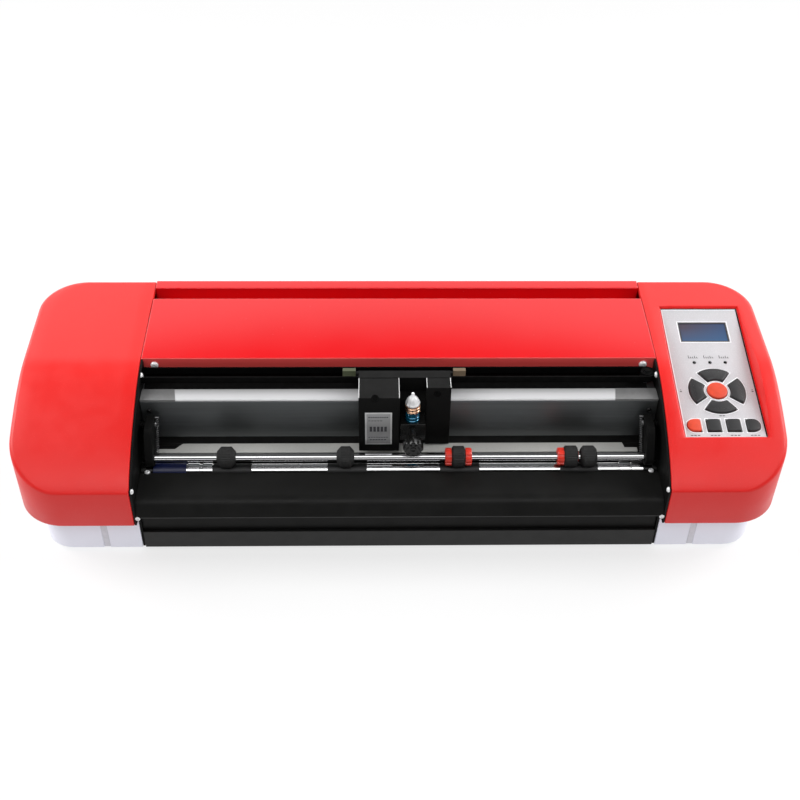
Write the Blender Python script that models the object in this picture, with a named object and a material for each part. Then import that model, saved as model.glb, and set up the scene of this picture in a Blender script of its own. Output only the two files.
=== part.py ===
"""Desktop vinyl cutter for 380 mm media, built as separate named pieces.

Design coordinates are millimetres: x from the machine's middle to the right, y back from the end
caps' front face, z up from the underside of the lower covers. to_world() turns them into metres in
the part's own frame, whose origin is at the middle of the footprint, on the floor.
"""

import math

import bmesh
import bpy
from mathutils import Vector

# ---- driving dimensions, mm -------------------------------------------------------------------
DEPTH = 204.0
FOOT_HEIGHT = 5.0
HALF_WIDTH = 298.0
CAP_INNER_X = 205.3  # where the red and grey end covers begin, beside the side plates
PLATE_X = (203.5, 205.0)  # side plates, near to far from the middle
SPAN_X = 203.2  # half length of everything that runs between the side plates
CAP_BOTTOM_Z = 38.6
CAP_WALL = 2.5
CAP_FLANGE = 2.5
LOWER_INSET = 13.0
FRONT_RADIUS = 38.0
BACK_RADIUS = 36.0
CREASE_Z = 73.3
BROW_Y = 105.0  # where the sloping front of the caps meets the nearly flat top
BROW_Z = 119.5
BACK_Z = 123.8

PANEL_FRONT = (37.3, 95.8)  # y, z of the control panel's front edge
PANEL_ANGLE = math.radians(10.8)
PANEL_X = (219.6, 283.2)
PANEL_LENGTH = 133.0
PANEL_THICK = 2.0
PAD_CENTRE = (251.7, 45.0)  # x and distance up the panel
PAD_RADII = (11.0, 22.3)
PAD_HALF_ANGLE = math.radians(34.5)
ENTER_RADIUS = 8.0
ROW_V = (5.0, 16.8)
ROW_X = ((222.3, 233.0), (237.8, 248.5), (253.4, 264.1), (268.9, 279.6))
LCD_X = (231.7, 271.3)
LCD_V = (96.9, 117.4)
KEY_TOP = 1.8
KEY_BOTTOM = -0.9
KEY_GAP = 0.4

DRIVE_AXIS = (43.9, 55.0)  # y, z
DRIVE_RADIUS = 5.5
DRIVE_ENDS = (-194.0, 192.9)
JOURNAL_RADIUS = 3.0
BEARING_SPIGOT = 6.4  # radius of the part of a drive bearing that sits in the side plate
PINCH_AXIS = (43.9, 69.3)
PINCH_SHAFT_RADIUS = 3.1
WHEEL_RADIUS = 8.5
WHEEL_BORE = 3.6
PINCH_PIVOT = (63.5, 87.0)
PIVOT_RADIUS = 2.5
RELEASE_AXIS = (115.0, 88.0)
PLATEN_Z = 60.0
BEAM_Y = (71.3, 100.0)
BEAM_Z = (66.0, 103.0)
RAIL_Z = (103.3, 105.0)
BELT_Y = 94.5
BELT_Z = (108.0, 114.0)
CARRIAGE_PULLEY = 4.9
CARRIAGE_MOTOR_X = -233.0
IDLER_X = 196.5
FEED_MOTOR_AXIS = (118.0, 42.0)
FEED_PULLEY = 14.0
FEED_MOTOR_PULLEY = 6.0
FEED_BELT_X = (-218.5, -213.5)
MOTOR_SIZE = 42.0
MOTOR_LENGTH = 38.0

TOOL_X = 9.4
TOOL_Y = 60.9
TOOL_BORE = 5.9
KNOB_Z = 90.0
SWITCH_AXIS = (188.4, 20.0)
SWITCH_OPENING = ((211.5, 224.5), (9.5, 30.5))  # x and z of the rocker's hole in the rear wall
SOCKET_OPENINGS = (((228.6, 239.4), (19.6, 33.4)), ((244.6, 257.4), (19.6, 33.4)))
GROOVE_DEPTH = 0.7  # of the upright groove in the front of each lower cover
SHAFT_GAP = 0.4  # between a turning shaft and the hole around it
ROUND = 24  # sides of a small round piece


# ---- frame, materials and mesh helpers --------------------------------------------------------
def to_world(x, y, z):
    """Design millimetres to metres in the part's frame."""
    return Vector((x, y - DEPTH / 2, z + FOOT_HEIGHT)) / 1000


def make_material(name, colour, roughness, metallic=0.0):
    material = bpy.data.materials.new(name)
    material.use_nodes = True
    shader = material.node_tree.nodes["Principled BSDF"]
    shader.inputs["Base Color"].default_value = (*colour, 1)
    shader.inputs["Roughness"].default_value = roughness
    shader.inputs["Metallic"].default_value = metallic
    return material


MATERIALS = {
    "cap_red": ((0.90, 0.07, 0.06), 0.4, 0.0),
    "cover_red": ((0.85, 0.02, 0.03), 0.15, 0.0),
    "cover_grey": ((0.68, 0.68, 0.74), 0.45, 0.0),
    "panel_silver": ((0.62, 0.62, 0.65), 0.4, 0.6),
    "black_steel": ((0.012, 0.012, 0.012), 0.35, 0.0),
    "black_anodised": ((0.06, 0.065, 0.065), 0.4, 0.5),
    "steel": ((0.75, 0.75, 0.76), 0.2, 1.0),
    "strip_grey": ((0.36, 0.37, 0.34), 0.5, 0.0),
    "rubber_black": ((0.02, 0.02, 0.02), 0.7, 0.0),
    "hub_red": ((0.6, 0.03, 0.02), 0.35, 0.0),
    "sleeve_blue": ((0.004, 0.01, 0.08), 0.3, 0.0),
    "holder_blue": ((0.0, 0.14, 0.24), 0.3, 0.4),
    "key_black": ((0.03, 0.03, 0.032), 0.5, 0.0),
    "key_red": ((0.85, 0.06, 0.03), 0.45, 0.0),
    "lcd": ((0.07, 0.1, 0.18), 0.1, 0.0),
    "board_green": ((0.02, 0.16, 0.06), 0.5, 0.0),
}


def clear_scene():
    for thing in list(bpy.data.objects):
        bpy.data.objects.remove(thing, do_unlink=True)
    for name, (colour, roughness, metallic) in MATERIALS.items():
        make_material(name, colour, roughness, metallic)


def add_object(name, bm, material, origin=None):
    """Makes an object from a mesh in design millimetres. origin is a design point on its joint axis."""
    base = to_world(*origin) if origin else Vector((0, 0, 0))
    for vert in bm.verts:
        vert.co = to_world(*vert.co) - base
    bmesh.ops.recalc_face_normals(bm, faces=bm.faces)
    mesh = bpy.data.meshes.new(name)
    bm.to_mesh(mesh)
    bm.free()
    mesh.set_sharp_from_angle(angle=math.radians(30))
    thing = bpy.data.objects.new(name, mesh)
    thing.location = base
    thing.data.materials.append(bpy.data.materials[material])
    bpy.context.scene.collection.objects.link(thing)
    return thing


def combine(thing, bm, operation="DIFFERENCE"):
    """Adds an EXACT Boolean with a hidden helper made from bm, and returns the helper."""
    helper = add_object(f"helper_{len(bpy.data.objects)}", bm, "steel")
    helper.hide_render = True
    helper.display_type = "WIRE"
    modifier = thing.modifiers.new(operation.lower(), "BOOLEAN")
    modifier.operation = operation
    modifier.object = helper
    return helper


def join(thing, bm):
    return combine(thing, bm, "UNION")


def solid(points, faces):
    bm = bmesh.new()
    verts = [bm.verts.new(p) for p in points]
    for face in faces:
        bm.faces.new([verts[i] for i in face])
    return bm


def hexahedron(low, high):
    """A six-sided solid between two quadrilaterals whose corners match."""
    sides = [(i, (i + 1) % 4, (i + 1) % 4 + 4, i + 4) for i in range(4)]
    return solid([*low, *high], [(3, 2, 1, 0), (4, 5, 6, 7), *sides])


def box(x, y, z):
    low = [(x[0], y[0], z[0]), (x[1], y[0], z[0]), (x[1], y[1], z[0]), (x[0], y[1], z[0])]
    return hexahedron(low, [(a, b, z[1]) for a, b, _ in low])


def prism(outline, place, low, high):
    """Extrudes a flat outline. place(a, b, t) gives the design point of its point (a, b) at height t."""
    bm = bmesh.new()
    rings = [[bm.verts.new(place(a, b, t)) for a, b in outline] for t in (low, high)]
    bm.faces.new(rings[0])
    bm.faces.new(rings[1])
    count = len(outline)
    for i in range(count):
        j = (i + 1) % count
        bm.faces.new((rings[0][i], rings[0][j], rings[1][j], rings[1][i]))
    return bm


def along_x(outline, low, high):
    """Extrudes a (y, z) outline along x."""
    return prism(outline, lambda y, z, x: (x, y, z), low, high)


def along_z(outline, low, high):
    """Extrudes an (x, y) outline along z."""
    return prism(outline, lambda x, y, z: (x, y, z), low, high)


def on_panel(outline, low, high):
    """Extrudes an (x, v) outline of the control panel, v up its slope, along the panel's normal."""
    return prism(outline, panel_point, low, high)


def panel_point(x, v, w):
    cos, sin = math.cos(PANEL_ANGLE), math.sin(PANEL_ANGLE)
    return (x, PANEL_FRONT[0] + v * cos - w * sin, PANEL_FRONT[1] + v * sin + w * cos)


def turned(profile, axis, centre, sides=ROUND):
    """Turns (radius, position) points about an axis. centre holds the other two coordinates.
    A profile that starts and ends at radius 0 is a solid; any other is closed into a tube."""
    bm = bmesh.new()
    rings = []
    for radius, t in profile:
        count = sides if radius > 0 else 1
        turns = [2 * math.pi * (i + 0.5) / sides for i in range(count)]
        rings.append([bm.verts.new(turn_point(axis, centre, radius, a, t)) for a in turns])
    is_solid = profile[0][0] == 0
    last = len(rings) - 1 if is_solid else len(rings)
    for k in range(last):
        bridge(bm, rings[k], rings[(k + 1) % len(rings)], sides)
    return bm


def turn_point(axis, centre, radius, angle, t):
    a = centre[0] + radius * math.cos(angle)
    b = centre[1] + radius * math.sin(angle)
    return {"x": (t, a, b), "y": (a, t, b), "z": (a, b, t)}[axis]


def bridge(bm, lower, upper, sides):
    for i in range(sides):
        j = (i + 1) % sides
        corners = [ring[k % len(ring)] for ring, k in ((lower, i), (lower, j), (upper, j), (upper, i))]
        bm.faces.new(list(dict.fromkeys(corners)))


def rod(axis, centre, radius, low, high, sides=ROUND):
    return turned([(0, low), (radius, low), (radius, high), (0, high)], axis, centre, sides)


def tube(axis, centre, inner, outer, low, high, sides=ROUND):
    return turned([(inner, low), (outer, low), (outer, high), (inner, high)], axis, centre, sides)


def arc(centre, radius, start, end, steps):
    """Points of a circle's arc, angles in degrees."""
    turns = [math.radians(start + (end - start) * i / steps) for i in range(steps + 1)]
    return [(centre[0] + radius * math.cos(a), centre[1] + radius * math.sin(a)) for a in turns]


def bent_sheet(line, thickness):
    """The outline of a folded sheet: the open line of its outer side, and back along the inner side,
    which lies to the right of the line's direction."""
    points = [Vector(p) for p in line]
    inner = []
    for i, point in enumerate(points):
        before = (point - points[i - 1]).normalized() if i else None
        after = (points[i + 1] - point).normalized() if i + 1 < len(points) else None
        first = right_normal(before or after)
        second = right_normal(after or before)
        mitre = (first + second).normalized()
        inner.append(point + mitre * thickness / mitre.dot(first))
    return [tuple(p) for p in [*points, *reversed(inner)]]


def right_normal(direction):
    return Vector((direction.y, -direction.x))


def mirror_x(points):
    return [(-x, *rest) for x, *rest in points]


# ---- end covers ---------------------------------------------------------------------------------
def top_z(y):
    """Height of the nearly flat top behind the brow."""
    return BROW_Z + (y - BROW_Y) * (BACK_Z - BROW_Z) / (DEPTH - BROW_Y)


def crown(steps=14):
    """The sloping front of the caps from the crease to the brow, a Bezier curve of (y, z) points."""
    ends = ((0.0, CREASE_Z), (13.0, 90.0), (72.0, 118.0), (BROW_Y, BROW_Z))
    line = []
    for i in range(steps + 1):
        t = i / steps
        weights = ((1 - t) ** 3, 3 * t * (1 - t) ** 2, 3 * t * t * (1 - t), t**3)
        line.append(tuple(sum(w * p[k] for w, p in zip(weights, ends)) for k in (0, 1)))
    return line


def side_profile(drop, margin):
    """The space under the caps' top, lowered by drop and widened by margin front and back."""
    curve = [(y, z - drop) for y, z in crown()]
    front = (-margin, curve[0][1] - margin * 0.9)
    back = (DEPTH + margin, top_z(DEPTH) - drop)
    return [(-margin, -20.0), front, *curve, back, (DEPTH + margin, -20.0)]


def cap_outline(inset, inner_x=CAP_INNER_X):
    """Plan of an end cover, drawn for the right-hand side."""
    front = arc((HALF_WIDTH - FRONT_RADIUS, FRONT_RADIUS), FRONT_RADIUS - inset, -90, 0, 9)
    back_centre = (HALF_WIDTH - BACK_RADIUS, DEPTH - BACK_RADIUS)
    back = arc(back_centre, BACK_RADIUS - inset, 0, 90, 9)
    return [(inner_x, inset), *front, *back, (inner_x, DEPTH - inset)]


def upper_cover(side):
    """A red cap: an open-bottomed shell with a flange round its lower rim."""
    flip = (lambda pts: pts) if side > 0 else mirror_x
    name = "right_upper_cover" if side > 0 else "left_upper_cover"
    reach = sorted((side * 180.0, side * 320.0))
    cap = add_object(name, along_z(flip(cap_outline(0)), CAP_BOTTOM_Z, 140.0), "cap_red")
    combine(cap, along_x(side_profile(0, 10.0), *reach), "INTERSECT")
    hollow_floor = CAP_BOTTOM_Z + CAP_FLANGE
    hollow = combine(cap, along_z(flip(cap_outline(CAP_WALL, 195.0)), hollow_floor, 139.0))
    combine(hollow, along_x(side_profile(3.0, 10.0), *reach), "INTERSECT")
    opening = along_z(flip(cap_outline(LOWER_INSET + CAP_WALL, 195.0)), 30.0, hollow_floor + 2.0)
    combine(cap, opening)
    if side > 0:
        combine(hollow, panel_recess(-5.4, 2.6))
        combine(cap, panel_recess(0.3, 0.0))
        pocket = [(PANEL_X[0] - 0.3, -0.3), (PANEL_X[1] + 0.3, -0.3)]
        pocket += [(x, PANEL_LENGTH + 0.3) for x, _ in reversed(pocket)]
        combine(cap, on_panel(pocket, -PANEL_THICK - 0.6, 25.0))
    return cap


def panel_recess(floor, grow):
    """The flat-bottomed recess round the control panel, its walls leaning outwards."""
    height = 30.0
    left, right = PANEL_X[0] - 0.7 - grow, PANEL_X[1] + 1.0 + grow
    front, back = -0.9 - grow, PANEL_LENGTH + 1.0 + grow
    low = [(left, front), (right, front), (right, back), (left, back)]
    lean_left, lean_right, lean_back = 0.72, 0.12, 0.3
    rise = height - floor
    high = [
        (left - lean_left * rise, front - lean_right * rise),
        (right + lean_right * rise, front - lean_right * rise),
        (right + lean_right * rise, back + lean_back * rise),
        (left - lean_left * rise, back + lean_back * rise),
    ]
    return hexahedron(
        [panel_point(x, v, floor) for x, v in low],
        [panel_point(x, v, height) for x, v in high],
    )


def lower_cover(side):
    """A grey tray under the cap, its wall set in from the cap's rim."""
    flip = (lambda pts: pts) if side > 0 else mirror_x
    name = "right_lower_cover" if side > 0 else "left_lower_cover"
    top = CAP_BOTTOM_Z - 0.3
    tray = add_object(name, along_z(flip(cap_outline(LOWER_INSET)), 0.0, top), "cover_grey")
    combine(tray, along_z(flip(cap_outline(LOWER_INSET + CAP_WALL, 195.0)), CAP_WALL, 60.0))
    notch = [(200.0, 30.0), (CAP_INNER_X + 1.0, 30.0), (CAP_INNER_X + 6.5, 45.0), (200.0, 45.0)]
    combine(tray, prism(flip(notch), lambda x, z, y: (x, y, z), 5.0, LOWER_INSET + 5.0))
    groove_x = sorted((side * 231.0, side * 236.0))
    combine(tray, box(groove_x, (LOWER_INSET - 1.0, LOWER_INSET + GROOVE_DEPTH), (-1.0, top + 1.0)))
    if side > 0:
        for x, z in (SWITCH_OPENING, *SOCKET_OPENINGS):
            combine(tray, box(x, (180.0, 195.0), z))
    return tray


# ---- chassis ------------------------------------------------------------------------------------
def side_plate(side):
    name = "right_side_plate" if side > 0 else "left_side_plate"
    edge = [(y + 0.8, z - 0.8) for y, z in crown() if y + 0.8 < BROW_Y - 0.4]
    step_y = BROW_Y - 0.4
    rear_y = DEPTH - 2.4
    low_top = 108.2
    foot_y = LOWER_INSET + 0.8
    outline = [
        (foot_y, 0.8),
        (foot_y, CAP_BOTTOM_Z),
        (0.8, CAP_BOTTOM_Z),
        *edge,
        (step_y, top_z(step_y) - 0.8),
        (step_y, low_top),
        (rear_y, low_top),
        (rear_y, CAP_BOTTOM_Z),
        (DEPTH - foot_y, CAP_BOTTOM_Z),
        (DEPTH - foot_y, 0.8),
    ]
    plate = add_object(name, along_x(outline, *sorted(side * x for x in PLATE_X)), "black_steel")
    through = sorted((side * 195.0, side * 215.0))
    combine(plate, rod("x", DRIVE_AXIS, BEARING_SPIGOT + SHAFT_GAP, *through))
    for pivot in (PINCH_PIVOT, RELEASE_AXIS):
        combine(plate, rod("x", pivot, PIVOT_RADIUS + SHAFT_GAP, *through))
    if side < 0:
        combine(plate, box(through, (BELT_Y - 7.5, BELT_Y + 7.5), (BELT_Z[0] - 1.5, BELT_Z[1] + 1.0)))


def base_pan():
    rear_y = DEPTH - LOWER_INSET
    line = [(rear_y, 38.0), (rear_y, 0.0), (LOWER_INSET, 0.0), (LOWER_INSET, 17.4)]
    add_object("base_pan", along_x(bent_sheet(line, 1.5), -SPAN_X, SPAN_X), "black_steel")


def front_apron():
    """The bed in front of the drive shaft, rolled over its front edge and folded back under it."""
    roll = 9.0
    line = [(16.2, 6.0), (16.2, 45.8), (2.2, 45.8), (0.8, 46.2), (0.4, 47.6)]
    line += arc((12.8, PLATEN_Z - roll), roll, 150, 90, 6)
    line += [(36.4, PLATEN_Z), (36.4, 50.0)]
    add_object("front_apron", along_x(bent_sheet(line, 1.5), -SPAN_X, SPAN_X), "black_steel")


def rear_platen():
    """The bed behind the drive shaft, with a recess for the cutting strip and a lip down the back."""
    recess_z = PLATEN_Z - 1.4
    underside = PLATEN_Z - 3.0
    outline = [(51.6, 50.0), (51.6, PLATEN_Z), (58.6, PLATEN_Z), (58.6, recess_z), (69.6, recess_z)]
    outline += [(69.6, PLATEN_Z), (194.0, PLATEN_Z), (200.5, 57.6), (203.6, 52.0), (203.6, 42.0)]
    outline += [(202.0, 42.0), (202.0, 51.4), (199.3, 55.8), (193.6, underside)]
    outline += [(53.4, underside), (53.4, 50.0)]
    add_object("rear_platen", along_x(outline, -SPAN_X, SPAN_X), "black_steel")


def cutting_strip():
    z = PLATEN_Z - 1.1
    outline = [(-194.0, 58.9), (191.0, 58.9), (191.0, 63.6), (181.0, 63.6), (179.8, 69.3)]
    outline += [(-173.9, 69.3), (-179.6, 63.2), (-194.0, 63.2)]
    add_object("cutting_strip", along_z(outline, z, z + 1.4), "strip_grey")


def carriage_beam():
    """A hollow extrusion between the side plates. The idler's post stands on its right end."""
    beam = add_object("carriage_beam", box((-SPAN_X, SPAN_X), BEAM_Y, BEAM_Z), "black_anodised")
    inside = [(edge[0] + 2.2, edge[1] - 2.2) for edge in (BEAM_Y, BEAM_Z)]
    combine(beam, box((-220.0, 220.0), *inside))
    join(beam, rod("z", (IDLER_X, BELT_Y), 2.0, BEAM_Z[1] - 1.0, BELT_Z[1] + 1.0))


def guide_rail():
    y0, y1 = BEAM_Y[0], BEAM_Y[0] + 13.1
    z0, z1 = RAIL_Z
    outline = [(y0 + 0.3, z0), (y0, z0 + 0.3), (y0, z1 - 0.8), (y0 + 0.3, z1 - 0.3), (y0 + 0.8, z1)]
    outline += [(y1, z1), (y1, z0)]
    add_object("guide_rail", along_x(outline, -SPAN_X, SPAN_X), "steel")


def top_cover():
    """The glossy cover over the works: a front lip, a groove across its back, and a rear skirt."""
    line = [(BROW_Y, 108.5), (BROW_Y, BROW_Z), (180.0, top_z(180.0)), (180.0, 112.0), (193.6, 112.0)]
    line += [(193.6, top_z(193.6)), (DEPTH, BACK_Z), (DEPTH, 92.0)]
    half = PLATE_X[1]
    add_object("top_cover", along_x(bent_sheet(line, 1.8), -half, half), "cover_red")


def feet():
    for name, x, y in (
        ("foot_front_left", -168.0, 26.0),
        ("foot_front_right", 168.0, 26.0),
        ("foot_rear_left", -168.0, 178.0),
        ("foot_rear_right", 168.0, 178.0),
    ):
        profile = [(0, -FOOT_HEIGHT), (7.0, -FOOT_HEIGHT), (8.0, -4.0), (8.0, -0.3), (0, -0.3)]
        add_object(name, turned(profile, "z", (x, y)), "rubber_black")


def drive_bearing(side):
    name = "right_drive_bearing" if side > 0 else "left_drive_bearing"
    inner = JOURNAL_RADIUS + SHAFT_GAP
    flange = BEARING_SPIGOT + 0.8
    profile = [(inner, 199.0), (flange, 199.0), (flange, 203.1)]
    profile += [(BEARING_SPIGOT, 203.1), (BEARING_SPIGOT, 207.0), (inner, 207.0)]
    add_object(name, turned([(r, side * x) for r, x in profile], "x", DRIVE_AXIS), "steel")


# ---- drives and electronics ---------------------------------------------------------------------
def motor(name, axis, centre, low, shaft_end):
    """A square stepper motor whose body starts at low and whose shaft points to shaft_end."""
    half, corner = MOTOR_SIZE / 2, 5.0
    near_corner = half - corner
    outline = [(-near_corner, -half), (near_corner, -half), (half, -near_corner), (half, near_corner)]
    outline += [(-a, -b) for a, b in outline]
    outline = [(centre[0] + a, centre[1] + b) for a, b in outline]
    make = along_x if axis == "x" else along_z
    high = low + MOTOR_LENGTH
    body = add_object(name, make(outline, low, high), "black_anodised")
    near = high if shaft_end > high else low
    boss_end = near + math.copysign(2.0, shaft_end - near)
    inside = near - math.copysign(5.0, shaft_end - near)
    join(body, rod(axis, centre, 11.0, *sorted((inside, boss_end))))
    join(body, rod(axis, centre, 2.5, *sorted((inside, shaft_end)), sides=16))


def belt_loop(first, first_radius, second, second_radius, gap, thickness, steps=10):
    """Inner and outer outlines of a belt round two pulleys."""
    offset = Vector(second) - Vector(first)
    heading = math.atan2(offset.y, offset.x)
    lean = math.degrees(math.acos((first_radius - second_radius) / offset.length))
    turn = math.degrees(heading)
    loops = []
    for extra in (gap, gap + thickness):
        loop = arc(first, first_radius + extra, turn + lean, turn + 360 - lean, steps)
        loop += arc(second, second_radius + extra, turn - lean, turn + lean, steps)
        loops.append(loop)
    return loops


def belt(name, loops, make, low, high):
    strap = add_object(name, make(loops[1], low, high), "rubber_black")
    combine(strap, make(loops[0], low - 3.0, high + 3.0))


def drives():
    motor("feed_motor", "x", FEED_MOTOR_AXIS, -262.0, -212.0)
    motor("carriage_motor", "z", (CARRIAGE_MOTOR_X, BELT_Y), 65.8, 113.0)
    loops = belt_loop(DRIVE_AXIS, FEED_PULLEY, FEED_MOTOR_AXIS, FEED_MOTOR_PULLEY, 0.3, 1.3)
    belt("feed_belt", loops, along_x, *FEED_BELT_X)
    ends = ((CARRIAGE_MOTOR_X, BELT_Y), (IDLER_X, BELT_Y))
    loops = belt_loop(ends[0], CARRIAGE_PULLEY, ends[1], CARRIAGE_PULLEY, 0.3, 1.2)
    belt("carriage_belt", loops, along_z, *BELT_Z)
    reach = (BELT_Z[0] - 0.4, BELT_Z[1] + 0.4)
    for name, x, bore in (("carriage_motor_pulley", CARRIAGE_MOTOR_X, 2.5), ("idler_pulley", IDLER_X, 2.0)):
        shape = tube("z", (x, BELT_Y), bore + SHAFT_GAP, CARRIAGE_PULLEY, *reach)
        add_object(name, shape, "steel", (x, BELT_Y, BELT_Z[0]))
    wide = (FEED_BELT_X[0] - 1.0, FEED_BELT_X[1] + 1.0)
    shape = tube("x", FEED_MOTOR_AXIS, 2.5 + SHAFT_GAP, FEED_MOTOR_PULLEY, *wide)
    add_object("feed_motor_pulley", shape, "steel", (FEED_BELT_X[0], *FEED_MOTOR_AXIS))
    shape = tube("x", DRIVE_AXIS, JOURNAL_RADIUS + SHAFT_GAP, FEED_PULLEY, *wide)
    add_object("feed_pulley", shape, "steel", (FEED_BELT_X[0], *DRIVE_AXIS))


def main_board():
    """The circuit board with its chips, the low-voltage inlet and the data socket soldered on."""
    board = add_object("main_board", box((227.0, 264.0), (70.0, 186.0), (19.0, 20.6)), "board_green")
    parts = [((229.0, 239.0), (172.0, 190.6), (20.0, 33.0)), ((245.0, 257.0), (172.0, 190.6), (20.0, 33.0))]
    parts += [((232.0, 246.0), (110.0, 124.0), (20.0, 22.6)), ((244.0, 262.0), (84.0, 102.0), (20.0, 30.0))]
    parts += [((252.0, 260.0), (138.0, 158.0), (20.0, 28.0))]
    for part in parts:
        join(board, box(*part))


# ---- media feed and pinch wheels ----------------------------------------------------------------
def drive_shaft():
    left, right = DRIVE_ENDS
    thin = JOURNAL_RADIUS
    profile = [(0, -221.0), (thin, -221.0), (thin, left), (DRIVE_RADIUS, left)]
    profile += [(DRIVE_RADIUS, right), (thin, right), (thin, 208.5), (0, 208.5)]
    add_object("drive_shaft", turned(profile, "x", DRIVE_AXIS), "steel", (0, *DRIVE_AXIS))
    sleeve = tube("x", DRIVE_AXIS, DRIVE_RADIUS + 0.3, 6.3, left, -168.2)
    add_object("shaft_coupling", sleeve, "sleeve_blue", (0, *DRIVE_AXIS))


def pinch_wheels():
    """Plain wheels, and hubs whose tyre sits between their flanges."""
    for number, low, high in ((1, -143.5, -128.6), (2, -50.0, -36.0), (5, 141.4, 154.5)):
        chamfer = 1.2
        outer = WHEEL_RADIUS - chamfer
        profile = [(WHEEL_BORE, low), (outer, low), (WHEEL_RADIUS, low + chamfer)]
        profile += [(WHEEL_RADIUS, high - chamfer), (outer, high), (WHEEL_BORE, high)]
        wheel = turned(profile, "x", PINCH_AXIS)
        add_object(f"pinch_wheel_{number}", wheel, "rubber_black", ((low + high) / 2, *PINCH_AXIS))
    for number, low, high, tyre in ((3, 35.0, 56.0, (40.2, 50.8)), (4, 123.3, 139.6, (128.5, 139.4))):
        flange, core = 7.2, 5.8
        profile = [(WHEEL_BORE, low), (flange, low), (flange, tyre[0] - 0.3), (core, tyre[0] - 0.3)]
        if number == 3:
            profile += [(core, tyre[1] + 0.3), (flange, tyre[1] + 0.3), (flange, high), (WHEEL_BORE, high)]
        else:
            profile += [(core, high), (WHEEL_BORE, high)]
        middle = ((low + high) / 2, *PINCH_AXIS)
        add_object(f"pinch_hub_{number}", turned(profile, "x", PINCH_AXIS), "hub_red", middle)
        ring = tube("x", PINCH_AXIS, core + 0.4, WHEEL_RADIUS, *tyre)
        add_object(f"pinch_tyre_{number}", ring, "rubber_black", middle)


def pinch_arms():
    shaft = rod("x", PINCH_AXIS, PINCH_SHAFT_RADIUS, -198.7, 198.7, sides=20)
    add_object("pinch_shaft", shaft, "steel", (0, *PINCH_PIVOT))
    hub = arc(PINCH_AXIS, 7.0, 150, 300, 6)
    outline = [*hub, (66.5, 76.0), (69.3, 80.0), (69.3, 91.0), (66.5, 93.5), (51.0, 93.5), (46.5, 90.0)]
    for side in (-1, 1):
        name = "right_pinch_arm" if side > 0 else "left_pinch_arm"
        reach = sorted((side * 192.2, side * 198.6))
        arm = add_object(name, along_x(outline, *reach), "black_steel", (side * 195.0, *PINCH_PIVOT))
        combine(arm, rod("x", PINCH_AXIS, PINCH_SHAFT_RADIUS + 0.4, side * 195.0 - 12, side * 195.0 + 12))
        pin = sorted((side * 196.0, side * 204.8))
        join(arm, rod("x", PINCH_PIVOT, PIVOT_RADIUS, *pin, sides=16))


def release_lever():
    """A cam rod across the machine behind the beam, with its handle in the rear opening."""
    profile = [(0, -204.8), (PIVOT_RADIUS, -204.8), (PIVOT_RADIUS, -202.9), (4.0, -202.9)]
    profile += [(4.0, 202.9), (PIVOT_RADIUS, 202.9), (PIVOT_RADIUS, 204.8), (0, 204.8)]
    rod_shape = turned(profile, "x", RELEASE_AXIS, 16)
    lever = add_object("pinch_release_lever", rod_shape, "black_steel", (0, *RELEASE_AXIS))
    hub = arc(RELEASE_AXIS, 6.5, 80, 250, 7)
    grip = arc((195.0, 74.0), 4.0, -100, 75, 5)
    join(lever, along_x([*hub, *grip], -200.0, -192.5))


# ---- carriage -----------------------------------------------------------------------------------
def carriage():
    hook = [(68.6, 62.5), (70.7, 62.5), (70.7, 105.6), (101.4, 105.6), (101.4, 92.0), (103.2, 92.0)]
    hook += [(103.2, 107.4), (87.6, 107.4), (87.6, 121.0), (79.0, 121.0), (79.0, 107.4), (68.6, 107.4)]
    plate = add_object("carriage_plate", along_x(hook, -32.5, 39.3), "black_steel", (0, 85.0, 105.0))
    ears = [(-44.8, 118.2), (51.0, 118.2), (51.0, 123.6), (41.2, 123.6), (41.2, 120.8)]
    ears += [(-34.6, 120.8), (-34.6, 123.6), (-44.8, 123.6)]
    join(plate, prism(ears, lambda x, z, y: (x, y, z), 84.4, 87.4))
    left = [(54.5, 65.6), (68.3, 65.6), (68.3, 107.7), (78.7, 107.7), (78.7, 121.0), (54.5, 121.0)]
    add_object("carriage_left_cover", along_x(left, -32.5, -0.8), "black_steel", (0, 85.0, 105.0))
    right = [(66.5, 61.6), (68.3, 61.6), (68.3, 107.7), (78.7, 107.7), (78.7, 121.0), (66.5, 121.0)]
    add_object("carriage_right_cover", along_x(right, 20.2, 39.3), "black_steel", (0, 85.0, 105.0))


def cutting_tool():
    block = box((0.0, 19.4), (53.3, 68.1), (78.0, 95.0))
    slide = add_object("tool_slide", block, "black_steel", (TOOL_X, TOOL_Y, KNOB_Z))
    combine(slide, rod("z", (TOOL_X, TOOL_Y), TOOL_BORE, 60.0, 110.0))
    body = [(0, 64.0), (1.6, 64.0), (5.5, 72.5), (5.5, 104.0), (6.4, 104.0), (6.4, 108.7), (0, 108.7)]
    add_object("blade_holder", turned(body, "z", (TOOL_X, TOOL_Y)), "holder_blue", (TOOL_X, TOOL_Y, 90.0))
    cap = [(0, 109.0), (4.8, 109.0), (5.8, 110.4), (5.8, 112.2), (4.8, 114.6), (2.2, 117.6)]
    cap += [(1.4, 118.4), (1.4, 120.6), (0, 121.0)]
    add_object("blade_cap", turned(cap, "z", (TOOL_X, TOOL_Y)), "steel", (TOOL_X, TOOL_Y, 109.0))
    knob = [(0, 30.0), (6.8, 30.0), (7.9, 31.0), (7.9, 38.2), (7.0, 39.0)]
    knob += [(2.5, 39.0), (2.5, 53.0), (0, 53.0)]
    shape = turned(knob, "y", (TOOL_X, KNOB_Z))
    add_object("clamp_knob", shape, "black_steel", (TOOL_X, 39.0, KNOB_Z))


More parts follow.
